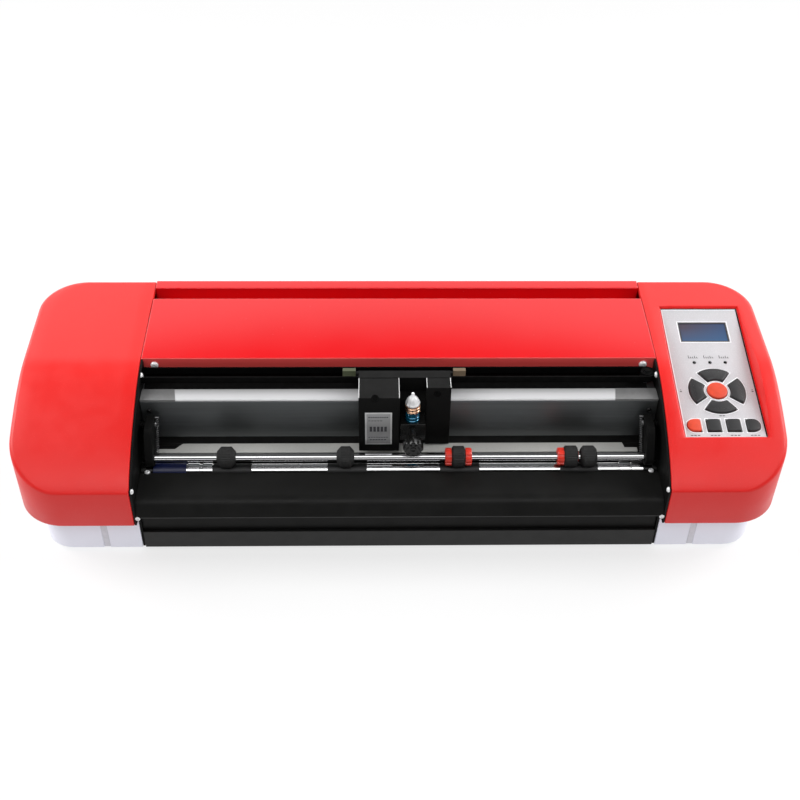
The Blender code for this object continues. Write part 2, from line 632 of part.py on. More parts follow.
# ---- control panel ------------------------------------------------------------------------------
def sector(middle, grow=0.0):
    """One quarter key of the round pad; middle is the direction it points to, in degrees."""
    inner, outer = PAD_RADII[0] - grow, PAD_RADII[1] + grow
    spread = math.degrees(PAD_HALF_ANGLE)
    wide = spread + math.degrees(grow / outer)
    narrow = spread - 2.5 + math.degrees(grow / inner)
    far = arc(PAD_CENTRE, outer, middle - wide, middle + wide, 8)
    near = arc(PAD_CENTRE, inner, middle + narrow, middle - narrow, 5)
    return far + near


def row_key(index, grow=0.0):
    """A key of the bottom row. The outer two have one round end."""
    x0, x1 = ROW_X[index][0] - grow, ROW_X[index][1] + grow
    v0, v1 = ROW_V[0] - grow, ROW_V[1] + grow
    radius = (v1 - v0) / 2
    middle = (v0 + v1) / 2
    if index == 0:
        return [(x1, v0), (x1, v1), *arc((x0 + radius, middle), radius, 90, 270, 8)]
    if index == 3:
        return [(x0, v1), (x0, v0), *arc((x1 - radius, middle), radius, -90, 90, 8)]
    return [(x0, v0), (x1, v0), (x1, v1), (x0, v1)]


def key_outlines(grow=0.0):
    """Every key's name, outline and material."""
    pad = (("key_up", 90), ("key_left", 180), ("key_down", 270), ("key_right", 0))
    keys = [(name, sector(angle, grow), "key_black") for name, angle in pad]
    keys.append(("key_enter", arc(PAD_CENTRE, ENTER_RADIUS + grow, 0, 345, 23), "key_red"))
    row = (("key_red", "key_red"), ("key_a", "key_black"), ("key_b", "key_black"), ("key_c", "key_black"))
    for index, (name, material) in enumerate(row):
        keys.append((name, row_key(index, grow), material))
    return keys


def rectangle(x, v):
    return [(x[0], v[0]), (x[1], v[0]), (x[1], v[1]), (x[0], v[1])]


def control_panel():
    sheet = on_panel(rectangle(PANEL_X, (0.0, PANEL_LENGTH)), -PANEL_THICK, 0.0)
    panel = add_object("control_panel", sheet, "panel_silver")
    for _, outline, _ in key_outlines(KEY_GAP):
        combine(panel, on_panel(outline, -8.0, 8.0))
    window_hole = rectangle([LCD_X[0] - 0.3, LCD_X[1] + 0.3], [LCD_V[0] - 0.3, LCD_V[1] + 0.3])
    combine(panel, on_panel(window_hole, -8.0, 8.0))
    add_object("lcd_window", on_panel(rectangle(LCD_X, LCD_V), -PANEL_THICK, -0.5), "lcd")
    for name, outline, material in key_outlines():
        middle = [sum(p[k] for p in outline) / len(outline) for k in (0, 1)]
        key = on_panel(outline, KEY_BOTTOM, KEY_TOP)
        add_object(name, key, material, panel_point(*middle, 0))


def power_switch():
    """A rocker in the rear wall, turning about a pin along x."""
    y, z = SWITCH_AXIS
    outline = [(y - 4.0, z - 7.0), (y + 2.6, z - 9.6), (y + 4.6, z - 9.3), (y + 3.2, z)]
    outline += [(y + 4.6, z + 9.3), (y + 2.6, z + 9.6), (y - 4.0, z + 7.0)]
    add_object("power_switch", along_x(outline, 212.0, 224.0), "key_black", (218.0, y, z))


def build():
    clear_scene()
    base_pan()
    front_apron()
    rear_platen()
    cutting_strip()
    carriage_beam()
    guide_rail()
    top_cover()
    feet()
    for side in (-1, 1):
        side_plate(side)
        upper_cover(side)
        lower_cover(side)
        drive_bearing(side)
    drives()
    main_board()
    drive_shaft()
    pinch_wheels()
    pinch_arms()
    release_lever()
    carriage()
    cutting_tool()
    control_panel()
    power_switch()


build()
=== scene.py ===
"""Looks of the desktop vinyl cutter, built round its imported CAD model.

Places are design millimetres: x from the machine's middle to the right, y back from the end covers'
front face, z up from the underside of the grey trays. at() turns them into metres in the frame.
"""

import math

import bmesh
import bpy
from mathutils import Matrix, Vector


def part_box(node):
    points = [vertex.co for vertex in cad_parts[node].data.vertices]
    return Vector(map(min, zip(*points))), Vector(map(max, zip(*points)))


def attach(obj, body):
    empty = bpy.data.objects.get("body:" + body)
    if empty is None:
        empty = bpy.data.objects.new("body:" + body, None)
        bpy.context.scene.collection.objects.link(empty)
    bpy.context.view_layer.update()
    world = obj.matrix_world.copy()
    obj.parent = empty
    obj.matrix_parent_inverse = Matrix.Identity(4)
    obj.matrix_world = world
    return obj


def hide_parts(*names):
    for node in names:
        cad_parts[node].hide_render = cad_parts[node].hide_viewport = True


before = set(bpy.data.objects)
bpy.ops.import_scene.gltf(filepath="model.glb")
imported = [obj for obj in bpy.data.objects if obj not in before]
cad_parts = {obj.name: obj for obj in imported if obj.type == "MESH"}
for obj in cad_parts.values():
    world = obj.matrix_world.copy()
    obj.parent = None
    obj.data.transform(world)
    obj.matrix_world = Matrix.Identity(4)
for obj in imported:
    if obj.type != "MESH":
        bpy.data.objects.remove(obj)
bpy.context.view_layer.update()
MM = 0.001


def box_mm(node):
    """Lowest and highest corners of a CAD node in design millimetres."""
    low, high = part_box(node)
    return tuple(Vector((c.x / MM, c.y / MM + SHIFT_Y, c.z / MM - SHIFT_Z)) for c in (low, high))


CAP_LOW, CAP_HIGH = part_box("right_upper_cover")
SHIFT_Y = CAP_HIGH.y / MM
SHIFT_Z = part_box("right_lower_cover")[0].z / MM
DEPTH = (CAP_HIGH.y - CAP_LOW.y) / MM
HALF_WIDTH = CAP_HIGH.x / MM
CAP_INNER_X = CAP_LOW.x / MM
CAP_BOTTOM_Z = CAP_LOW.z / MM - SHIFT_Z
FRONT_RADIUS = 38.0
BACK_RADIUS = 36.0
CREASE_Z = 73.3
BROW_Y = 105.0
BROW_Z = 119.5
BACK_Z = 123.8
CAP_WALL = 2.5
FLANGE_INSET = 15.5  # how far in the caps' lower flange reaches
SPAN_X = 203.2  # half length of everything that runs between the side plates

PANEL_FRONT = (37.3, 95.8)
PANEL_ANGLE = math.radians(10.8)
PANEL_X = (219.6, 283.2)
PANEL_LENGTH = 133.0
PAD_CENTRE = (251.7, 45.0)
PAD_RADII = (11.0, 22.3)
PAD_HALF_ANGLE = 34.5
ENTER_RADIUS = 8.0
ROW_V = (5.0, 16.8)
ROW_X = ((222.3, 233.0), (237.8, 248.5), (253.4, 264.1), (268.9, 279.6))
LCD_X = (231.7, 271.3)
LCD_V = (96.9, 117.4)
KEY_GAP = 0.4
LAMP_V = 74.5
LAMP_X = (238.4, 251.1, 263.6)


def axis_of(node):
    """(y, z) of a round piece's axis, from its box."""
    low, high = box_mm(node)
    return ((low.y + high.y) / 2, (low.z + high.z) / 2)


DRIVE_AXIS = axis_of("drive_shaft")
PINCH_AXIS = axis_of("pinch_shaft")
DRIVE_RADIUS = 5.5
WHEEL_RADIUS = 8.45
TOOL = box_mm("blade_holder")
TOOL_XY = ((TOOL[0].x + TOOL[1].x) / 2, (TOOL[0].y + TOOL[1].y) / 2)


# ---- mesh helpers ----
def at(x, y, z):
    return Vector((x, y - SHIFT_Y, z + SHIFT_Z)) * MM


def panel_point(x, v, w):
    """A point of the control panel: v up its slope, w out along its normal."""
    cos, sin = math.cos(PANEL_ANGLE), math.sin(PANEL_ANGLE)
    return (x, PANEL_FRONT[0] + v * cos - w * sin, PANEL_FRONT[1] + v * sin + w * cos)


def group(parts):
    """Several separate solids in one mesh."""
    whole = bmesh.new()
    for part in parts:
        known = {vert: whole.verts.new(vert.co) for vert in part.verts}
        for face in part.faces:
            whole.faces.new([known[vert] for vert in face.verts])
        part.free()
    return whole


def make(name, parts, look, body="chassis", edge=0.0, replaced=(), sharp=35.0):
    """Makes a piece that rides on a body, from a mesh or a list of meshes in design millimetres.
    edge is how wide its edges are rounded."""
    bm = group(parts) if isinstance(parts, list) else parts
    for vert in bm.verts:
        vert.co = at(*vert.co)
    bmesh.ops.recalc_face_normals(bm, faces=bm.faces)
    mesh = bpy.data.meshes.new(name)
    bm.to_mesh(mesh)
    bm.free()
    mesh.shade_smooth()
    mesh.set_sharp_from_angle(angle=math.radians(sharp))
    piece = bpy.data.objects.new(name, mesh)
    bpy.context.scene.collection.objects.link(piece)
    mesh.materials.append(LOOKS[look])
    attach(piece, body)
    if replaced:
        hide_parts(*replaced)
    if edge:
        bevel(piece, edge)


def bevel(piece, width):
    """Rounds the edges where faces meet at 30 degrees or more."""
    modifier = piece.modifiers.new("soft_edges", "BEVEL")
    modifier.width = width * MM
    modifier.segments = 3
    modifier.limit_method = "ANGLE"
    modifier.angle_limit = math.radians(30.0)
    modifier.use_clamp_overlap = True
    normals = piece.modifiers.new("even_shading", "WEIGHTED_NORMAL")
    normals.keep_sharp = False


def loft(outlines):
    """A closed solid through outlines that have as many points each."""
    bm = bmesh.new()
    rings = [[bm.verts.new(point) for point in outline] for outline in outlines]
    for first, second in zip(rings, rings[1:]):
        close_rings(bm, first, second)
    bm.faces.new(rings[0])
    bm.faces.new(rings[-1])
    return bm


def prism(outline, place, low, high):
    return loft([[place(a, b, t) for a, b in outline] for t in (low, high)])


def close_rings(bm, first, second):
    count = len(first)
    for i in range(count):
        j = (i + 1) % count
        bm.faces.new((first[i], first[j], second[j], second[i]))


def along_x(outline, low, high):
    return prism(outline, lambda y, z, x: (x, y, z), low, high)


def along_y(outline, low, high):
    return prism(outline, lambda x, z, y: (x, y, z), low, high)


def along_z(outline, low, high):
    return prism(outline, lambda x, y, z: (x, y, z), low, high)


def on_panel(outline, low, high):
    return prism(outline, panel_point, low, high)


def rectangle(x, y):
    return [(x[0], y[0]), (x[1], y[0]), (x[1], y[1]), (x[0], y[1])]


def box(x, y, z):
    return along_z(rectangle(x, y), *z)


def arc(centre, radius, start, end, steps):
    turns = [math.radians(start + (end - start) * i / steps) for i in range(steps + 1)]
    return [(centre[0] + radius * math.cos(a), centre[1] + radius * math.sin(a)) for a in turns]


def turned(profile, axis, centre, sides=64, shape=None):
    """Turns (radius, position) points about an axis. shape(angle, position) multiplies the radius.
    A profile that starts and ends at radius 0 is a solid; any other is closed into a tube."""
    bm = bmesh.new()
    rings = []
    for radius, t in profile:
        ring = []
        for i in range(sides if radius > 0 else 1):
            angle = 2 * math.pi * i / sides
            r = radius * (shape(angle, t) if shape else 1.0)
            a = centre[0] + r * math.cos(angle)
            b = centre[1] + r * math.sin(angle)
            ring.append(bm.verts.new({"x": (t, a, b), "y": (a, t, b), "z": (a, b, t)}[axis]))
        rings.append(ring)
    last = len(rings) - 1 if profile[0][0] == 0 else len(rings)
    for k in range(last):
        low, high = rings[k], rings[(k + 1) % len(rings)]
        for i in range(sides):
            j = (i + 1) % sides
            face = [low[i % len(low)], low[j % len(low)], high[j % len(high)], high[i % len(high)]]
            bm.faces.new(list(dict.fromkeys(face)))
    return bm


def swept(path, radius, sides=8):
    """A closed tube of round section along a list of points."""
    points = [Vector(p) for p in path]
    turns = [2 * math.pi * k / sides for k in range(sides)]
    rings = []
    for i, point in enumerate(points):
        ahead = (points[min(i + 1, len(points) - 1)] - points[max(i - 1, 0)]).normalized()
        across = ahead.cross(Vector((0, 0, 1)))
        if across.length < 0.1:
            across = ahead.cross(Vector((1, 0, 0)))
        across.normalize()
        up = across.cross(ahead)
        rings.append([point + (across * math.cos(a) + up * math.sin(a)) * radius for a in turns])
    return loft(rings)


def tube_profile(inner, outer, low, high, drop=0.4):
    """A tube's section, with its outer edges cut by drop across and 0.4 along."""
    edge = outer - drop
    return [(inner, low), (edge, low), (outer, low + 0.4), (outer, high - 0.4), (edge, high), (inner, high)]


def placed(bm, point, turn):
    """Turns a mesh and moves it to a point."""
    bmesh.ops.transform(bm, matrix=Matrix.Translation(Vector(point)) @ turn, verts=bm.verts)
    return bm


# ---- materials ----
def new_node(tree, kind, values=None, links=None, **settings):
    """Adds a shader node, with its settings, its inputs' values and what its inputs are linked to."""
    node = tree.nodes.new(kind)
    for name, value in settings.items():
        setattr(node, name, value)
    for socket, value in (values or {}).items():
        node.inputs[socket].default_value = value
    for socket, output in (links or {}).items():
        tree.links.new(output, node.inputs[socket])
    return node


class Finish:
    """A Principled material whose colour, roughness and bump come from noise in object space."""

    def __init__(self, name, colour, roughness, metallic=0.0, coat=0.0, stretch=(1, 1, 1), specular=0.5):
        self.material = bpy.data.materials.new(name)
        self.material.use_nodes = True
        self.tree = self.material.node_tree
        self.shader = self.tree.nodes["Principled BSDF"]
        self.colour = (*colour, 1)
        self.roughness = roughness
        values = {"Base Color": self.colour, "Roughness": roughness, "Metallic": metallic}
        values |= {"Specular IOR Level": specular, "Coat Weight": coat, "Coat Roughness": 0.05}
        for socket, value in values.items():
            self.shader.inputs[socket].default_value = value
        source = self.node("ShaderNodeTexCoord").outputs["Object"]
        mapping = self.node("ShaderNodeMapping", {"Scale": stretch}, {"Vector": source})
        self.place = mapping.outputs["Vector"]
        self.mixed = None
        self.normal = None

    def node(self, kind, values=None, links=None, **settings):
        return new_node(self.tree, kind, values, links, **settings)

    def feed(self, socket, output):
        """Links an output to one of the shader's inputs."""
        self.tree.links.new(output, self.shader.inputs[socket])
        return self

    def spread(self, value, source, target=(0.0, 1.0)):
        """Maps a source range of a value onto a target range."""
        ends = {"From Min": source[0], "From Max": source[1], "To Min": target[0], "To Max": target[1]}
        return self.node("ShaderNodeMapRange", ends, {"Value": value}).outputs["Result"]

    def noise(self, cell, detail=3.0, contrast=(0.3, 0.7)):
        """Noise from 0 to 1 with blobs about cell millimetres wide."""
        values = {"Scale": 1.0 / (cell * MM), "Detail": detail}
        texture = self.node("ShaderNodeTexNoise", values, {"Vector": self.place})
        return self.spread(texture.outputs["Fac"], contrast)

    def ramp(self, axis, low, high):
        """From 0 to 1 between two places along a design axis, on a piece drawn in the frame."""
        shift = SHIFT_Y if axis == "Y" else 0.0
        split = self.node("ShaderNodeSeparateXYZ", links={0: self.place})
        return self.spread(split.outputs[axis], ((low - shift) * MM, (high - shift) * MM))

    def tint(self, factor, colour, amount=1.0):
        """Mixes another colour in where factor is high."""
        share = self.node("ShaderNodeMath", {1: amount}, {0: factor}, operation="MULTIPLY").outputs[0]
        links = {"Factor": share}
        if self.mixed:
            links[6] = self.mixed
        values = {6: self.colour, 7: (*colour, 1)}
        self.mixed = self.node("ShaderNodeMix", values, links, data_type="RGBA").outputs[2]
        return self.feed("Base Color", self.mixed)

    def mottle(self, cell, amount, detail=3.0):
        """Slightly lighter and darker patches."""
        lighter = [min(1.0, c * (1 + amount) + 0.002) for c in self.colour[:3]]
        darker = [c * (1 - amount) for c in self.colour[:3]]
        self.tint(self.noise(cell, detail), lighter, 0.6)
        return self.tint(self.noise(cell * 1.7, detail, (0.45, 0.75)), darker, 0.6)

    def smudge(self, cell, amount):
        """Roughness that varies by amount either way."""
        ends = (max(0.02, self.roughness - amount), min(1.0, self.roughness + amount))
        return self.feed("Roughness", self.spread(self.noise(cell), (0.0, 1.0), ends))

    def grain(self, cell, depth):
        """Bumps about cell millimetres wide and depth millimetres high."""
        links = {"Height": self.noise(cell, 2.0, (0.0, 1.0))}
        if self.normal:
            links["Normal"] = self.normal
        bump = self.node("ShaderNodeBump", {"Strength": 1.0, "Distance": depth * MM}, links)
        self.normal = bump.outputs["Normal"]
        return self.feed("Normal", self.normal)

    def specks(self, cell, colour, amount, size):
        """Small round specks of another colour."""
        cells = self.node("ShaderNodeTexVoronoi", {"Scale": 1.0 / (cell * MM)}, {"Vector": self.place})
        return self.tint(self.spread(cells.outputs["Distance"], (size, size * 0.6)), colour, amount)


def moulded_red():
    look = Finish("moulded_red", (0.65, 0.013, 0.011), 0.38, specular=0.36)
    look.mottle(60.0, 0.05).smudge(14.0, 0.05).grain(0.45, 0.02).grain(3.5, 0.01)
    return look.specks(2.2, (0.75, 0.06, 0.055), 0.35, 0.16).material


def painted_red():
    look = Finish("painted_red", (0.60, 0.003, 0.006), 0.16, coat=0.85, specular=0.1)
    look.mottle(90.0, 0.05).smudge(30.0, 0.05).grain(2.4, 0.005)
    # The front lip is painted a lighter red than the rest of the cover: painted light on the shaded lip.
    look.tint(look.ramp("Y", BROW_Y + 0.5, BROW_Y + 0.3), (0.82, 0.085, 0.08))
    return look.specks(9.0, (0.75, 0.15, 0.15), 0.3, 0.05).material


def moulded_grey():
    look = Finish("moulded_grey", (0.83, 0.84, 0.94), 0.45)
    look.mottle(40.0, 0.03).smudge(12.0, 0.06).grain(0.5, 0.02)
    # The trays are painted darker towards the back: painted shade.
    return look.tint(look.ramp("Y", 90.0, 165.0), (0.42, 0.43, 0.47)).material


def panel_film():
    look = Finish("panel_film", (0.54, 0.53, 0.55), 0.42, metallic=0.25)
    look.mottle(25.0, 0.04).smudge(8.0, 0.06).grain(0.35, 0.012)
    return look.specks(0.8, (0.85, 0.85, 0.88), 0.4, 0.3).material


def powder_black(name="powder_black", tone=0.005, roughness=0.38, specular=0.22):
    look = Finish(name, (tone, tone, tone * 0.96), roughness, specular=specular)
    look.mottle(30.0, 0.25).smudge(10.0, 0.07).grain(0.8, 0.008)
    return look.specks(5.0, (0.03, 0.03, 0.03), 0.5, 0.05).material


def anodised():
    look = Finish("brushed_anodised", (0.13, 0.13 * 1.06, 0.13 * 1.08), 0.4, 0.9, stretch=(0.02, 1, 1))
    return look.mottle(1.2, 0.12, 4.0).smudge(0.9, 0.05).grain(0.5, 0.003).material


def ground_steel(name, tone, roughness, metallic=1.0, stretch=(1, 1, 1)):
    look = Finish(name, (tone, tone, tone * 1.01), roughness, metallic, stretch=stretch)
    return look.mottle(0.8, 0.05, 4.0).smudge(0.9, 0.02).grain(0.5, 0.0001).material


def polished_steel():
    look = Finish("polished_steel", (0.72, 0.72, 0.73), 0.1, metallic=1.0)
    return look.mottle(14.0, 0.03).smudge(9.0, 0.015).grain(8.0, 0.0001).material


def rail_steel():
    look = Finish("rail_steel", (0.52, 0.52, 0.53), 0.24, metallic=0.12, stretch=(0.02, 1, 1))
    look.mottle(0.8, 0.05, 4.0).smudge(0.9, 0.02).grain(0.5, 0.0001)
    # The rail's back edge is painted darker than its front: painted shade.
    return look.tint(look.ramp("Y", 78.5, 85.5), (0.3, 0.3, 0.3)).material


def strip_plastic():
    look = Finish("strip_plastic", (0.47, 0.47, 0.45), 0.5)
    look.mottle(12.0, 0.06).smudge(6.0, 0.08).grain(0.6, 0.015)
    scores = look.noise(1.0, 2.0, (0.62, 0.66))
    return look.tint(scores, (0.3, 0.3, 0.28), 0.3).material


def rubber(name="rubber", tone=0.009, specular=0.35, depth=0.03):
    look = Finish(name, (tone, tone, tone), 0.6, specular=specular)
    look.mottle(4.0, 0.3).smudge(3.0, 0.1).grain(0.3, depth)
    return look.specks(1.6, (tone * 4, tone * 4, tone * 4), 0.5, 0.14).material


def tinted(name, colour, roughness, metallic=0.0, coat=0.0):
    look = Finish(name, colour, roughness, metallic, coat)
    return look.mottle(3.0, 0.12).smudge(2.0, 0.06).grain(0.4, 0.006).material


def lcd_glass():
    look = Finish("lcd_glass", (0.075, 0.062, 0.085), 0.08, coat=1.0)
    # Lighter blue towards the right and towards the front of the pane: painted reflection.
    look.tint(look.ramp("X", 236.0, 268.0), (0.03, 0.085, 0.19), 0.6)
    look.tint(look.ramp("Y", 148.0, 132.0), (0.05, 0.12, 0.24), 0.75)
    return look.smudge(9.0, 0.03).grain(6.0, 0.002).material


def board_laminate():
    look = Finish("board_laminate", (0.015, 0.13, 0.05), 0.4)
    look.mottle(5.0, 0.2).smudge(4.0, 0.08).grain(0.6, 0.02)
    return look.specks(3.0, (0.5, 0.42, 0.2), 0.8, 0.18).material


LOOKS = {
    "cap": moulded_red(),
    "cover": painted_red(),
    "grey": moulded_grey(),
    "film": panel_film(),
    "black": powder_black(),
    "plate": powder_black("plate_black", 0.003, 0.5, 0.1),
    "bed": powder_black("bed_black", 0.008, 0.4, 0.1),
    "case": powder_black("case_black", 0.004, 0.6, 0.08),
    "gloss": powder_black("gloss_black", 0.004, 0.25, 0.3),
    "lip": powder_black("lip_black", 0.009, 0.45, 0.3),
    "inside": rubber("inside_black", 0.002, 0.04, 0.003),
    "anodised": anodised(),
    "rail": rail_steel(),
    "shaft": polished_steel(),
    "screw": ground_steel("screw_steel", 0.72, 0.35, 0.3),
    "grit": ground_steel("grit_steel", 0.05, 0.55),
    "tip": ground_steel("tip_steel", 0.88, 0.25, 0.4),
    "spring": ground_steel("spring_steel", 0.16, 0.3, 0.8),
    "label": ground_steel("label_silver", 0.36, 0.38, stretch=(1, 0.05, 1)),
    "strip": strip_plastic(),
    "rubber": rubber(),
    "mat": rubber("key_mat_rubber", 0.006),
    "lcd": lcd_glass(),
    "board": board_laminate(),
    "rail_end": tinted("rail_end_grey", (0.17, 0.17, 0.17), 0.4, 0.3),
    "hub": tinted("hub_red", (0.62, 0.03, 0.015), 0.34),
    "sleeve": tinted("sleeve_blue", (0.002, 0.006, 0.05), 0.4),
    "holder": tinted("holder_blue", (0.0, 0.11, 0.2), 0.16, 0.6, 0.8),
    "brass": tinted("brass", (0.66, 0.40, 0.26), 0.28, 1.0),
    "key_black": tinted("key_black", (0.009, 0.009, 0.01), 0.5),
    "key_red": tinted("key_red", (0.57, 0.042, 0.009), 0.48),
    # Darker grey for the trays' grooves: painted shade.
    "groove_shade": tinted("groove_shade_grey", (0.64, 0.64, 0.7), 0.5),
    "ink": tinted("mark_ink", (0.03, 0.03, 0.035), 0.6),
    "outline": tinted("outline_ink", (0.84, 0.84, 0.86), 0.5),
    "label_edge_and_highlight": tinted("label_edge_and_highlight", (0.62, 0.62, 0.62), 0.4, 0.8),
    "tab_green": tinted("tab_green", (0.055, 0.066, 0.028), 0.5, 0.3),
    "tab_bronze": tinted("tab_bronze", (0.13, 0.09, 0.05), 0.5, 0.3),
}

SOFTENED = {  # the nodes that keep their CAD shape, by their look and how wide their edges are rounded
    ("cover", 0.7): ("top_cover",),
    ("grey", 0.8): ("left_lower_cover", "right_lower_cover"),
    ("film", 0.25): ("control_panel",),
    ("lip", 0.4): ("base_pan",),
    ("bed", 0.35): ("front_apron",),
    ("black", 0.35): ("rear_platen",),
    ("strip", 0.15): ("cutting_strip",),
    ("plate", 0.3): ("left_side_plate", "right_side_plate"),
    ("anodised", 0.3): ("carriage_beam",),
    ("rail", 0.2): ("guide_rail",),
    ("rubber", 0.5): ("foot_front_left", "foot_front_right", "foot_rear_left", "foot_rear_right"),
    ("gloss", 0.3): ("left_drive_bearing", "right_drive_bearing"),
    ("black", 0.6): ("feed_motor", "carriage_motor"),
    ("rubber", 0.2): ("feed_belt",),
    ("inside", 0.2): ("carriage_belt",),
    ("board", 0.2): ("main_board",),
    ("shaft", 0.3): ("drive_shaft", "pinch_shaft"),
    ("sleeve", 0.3): ("shaft_coupling",),
    ("screw", 0.3): ("feed_pulley", "feed_motor_pulley", "carriage_motor_pulley"),
    ("inside", 0.3): ("idler_pulley",),
    ("case", 0.7): ("left_pinch_arm", "right_pinch_arm", "carriage_left_cover"),
    ("case", 0.35): ("carriage_plate",),
    ("case", 0.5): ("carriage_right_cover",),
    ("black", 0.5): ("pinch_release_lever",),
    ("gloss", 0.5): ("tool_slide",),
    ("key_black", 0.5): ("power_switch",),
}


def dress_frame():
    """Gives the CAD nodes that keep their shape softened edges and their finish."""
    for (look, width), names in SOFTENED.items():
        for name in names:
            soften(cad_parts[name], LOOKS[look], width)


def soften(node, material, width):
    node.data.materials.clear()
    node.data.materials.append(material)
    weld = node.modifiers.new("weld", "WELD")
    weld.merge_threshold = 0.00001
    flat = node.modifiers.new("flat_faces", "DECIMATE")
    flat.decimate_type = "DISSOLVE"
    flat.angle_limit = math.radians(0.5)
    bevel(node, width)


# ---- end caps ----
def crown_z(y):
    """Height of the caps' top at depth y: a Bezier curve up to the brow, then a straight line back."""
    if y >= BROW_Y:
        return BROW_Z + (y - BROW_Y) * (BACK_Z - BROW_Z) / (DEPTH - BROW_Y)
    ends = ((0.0, CREASE_Z), (13.0, 90.0), (72.0, 118.0), (BROW_Y, BROW_Z))
    low, high = 0.0, 1.0
    for _ in range(30):
        t = (low + high) / 2
        weights = ((1 - t) ** 3, 3 * t * (1 - t) ** 2, 3 * t * t * (1 - t), t**3)
        if sum(w * p[0] for w, p in zip(weights, ends)) < y:
            low = t
        else:
            high = t
    return sum(w * p[1] for w, p in zip(weights, ends))


class Edge:
    """A place on the caps' plan outline: a centre of curvature, an outward normal, and an edge radius."""

    def __init__(self, centre, normal, reach, fillet):
        self.centre = Vector(centre)
        self.normal = Vector(normal)
        self.reach = reach  # distance from the centre out to the outline
        self.fillet = fillet

    def point(self, inset):
        return self.centre + self.normal * (self.reach - inset)


def corner_edge(back, degrees):
    """A place round the front corner, or the back one, degrees from the side that faces front or back."""
    radius = BACK_RADIUS if back else FRONT_RADIUS
    sin, cos = math.sin(math.radians(degrees)), math.cos(math.radians(degrees))
    y = DEPTH - radius if back else radius
    fillet = (3.0 + 0.4 * sin) if back else (0.8 + 2.6 * sin)
    return Edge((HALF_WIDTH - radius, y), (sin, cos if back else -cos), radius, fillet)


def side_edge(y):
    return Edge((HALF_WIDTH - FRONT_RADIUS, y), (1.0, 0.0), FRONT_RADIUS, 3.4)


def rim_row(y, back):
    """The corner place whose fillet ends at depth y."""
    low, high = 60.0, 90.0
    for _ in range(30):
        middle = (low + high) / 2
        edge = corner_edge(back, middle)
        beyond = edge.point(edge.fillet).y > y
        if beyond == back:
            low = middle
        else:
            high = middle
    return corner_edge(back, (low + high) / 2)


CORNER_STEPS = 16
SIDE_STEPS = 22


def cap_rows(rims):
    """The outline's places from the front corner to the back one. rims are depths that need a row."""
    first, last = FRONT_RADIUS, DEPTH - BACK_RADIUS
    turns = [90 * i / CORNER_STEPS for i in range(CORNER_STEPS)]
    rows = [corner_edge(False, turn) for turn in turns]
    rows += [side_edge(first + (last - first) * i / SIDE_STEPS) for i in range(SIDE_STEPS + 1)]
    rows += [corner_edge(True, turn) for turn in turns]
    if rims:
        rows += [rim_row(rims[0], False), rim_row(rims[1], True)]
    rows.sort(key=lambda edge: edge.point(edge.fillet).y)
    return rows


RECESS_FLOOR = 0.3
POCKET_FLOOR = -2.6
RECESS_X = (PANEL_X[0] - 0.7, PANEL_X[1] + 1.0)
RECESS_V = (-0.9, PANEL_LENGTH + 1.0)
LEAN = (0.35, 0.12, 0.12, 0.3)  # how far the left, right, front and back walls lean out as they rise
RIM = 0.9  # half width of the rounded rim


def height_over_panel(y):
    """How far the cap's top stands over the panel's plane at depth y."""
    rise = PANEL_FRONT[1] + (y - PANEL_FRONT[0]) * math.tan(PANEL_ANGLE)
    return (crown_z(y) - rise) * math.cos(PANEL_ANGLE)


def recess_sides(y, grow):
    """x of the recess's left and right rims at depth y."""
    rise = height_over_panel(y) - RECESS_FLOOR
    return (RECESS_X[0] - LEAN[0] * rise - grow, RECESS_X[1] + LEAN[1] * rise + grow)


def recess_ends():
    """Depth of the recess's front and back rims."""
    found = []
    for v, lean, sign in ((RECESS_V[0], LEAN[2], -1), (RECESS_V[1], LEAN[3], 1)):
        y = PANEL_FRONT[0] + v * math.cos(PANEL_ANGLE)
        for _ in range(8):
            w = height_over_panel(y)
            along = v + sign * (lean * (w - RECESS_FLOOR) + RIM)
            y = PANEL_FRONT[0] + along * math.cos(PANEL_ANGLE) - w * math.sin(PANEL_ANGLE)
        found.append(y)
    return found


INNER_STEPS = ((0.0, 1.0), (0.3, 0.3), (1.0, 0.0))  # x from the inner edge and sink, of its rounded corner


def cap_columns(y, has_panel, outer_x, grow):
    """x across the cap's top at depth y, with how far each point sinks for the rounded inner edge."""
    columns = [(CAP_INNER_X + dx, sink) for dx, sink in INNER_STEPS]
    start = columns[-1][0]
    if not has_panel:
        return columns + [(start + (outer_x - start) * i / 8, 0.0) for i in range(1, 9)]
    clamp = min(max(y, PANEL_ENDS[0]), PANEL_ENDS[1])
    left, right = recess_sides(clamp, RIM + grow)
    right = min(right, outer_x - 1.0)
    near_left = min(left, start + (outer_x - start) * 0.2) if y < PANEL_ENDS[0] - 8 else left
    columns += [(start + (near_left - start) * i / 2, 0.0) for i in (1, 2)]
    columns += [(near_left + (right - near_left) * i / 8, 0.0) for i in range(1, 9)]
    return columns + [(right + (outer_x - right) * i / 3, 0.0) for i in (1, 2, 3)]


PANEL_ENDS = recess_ends()
PANEL_COLUMNS = (4, 12)  # the columns at the recess's left and right rims
FILLET_ANGLES = (72, 54, 36, 18, 0)  # degrees above level, down the rounded edge of the caps' top


def bridge(bm, first, second):
    """Faces between two open rows of points."""
    for i in range(len(first) - 1):
        bm.faces.new((first[i], first[i + 1], second[i + 1], second[i]))


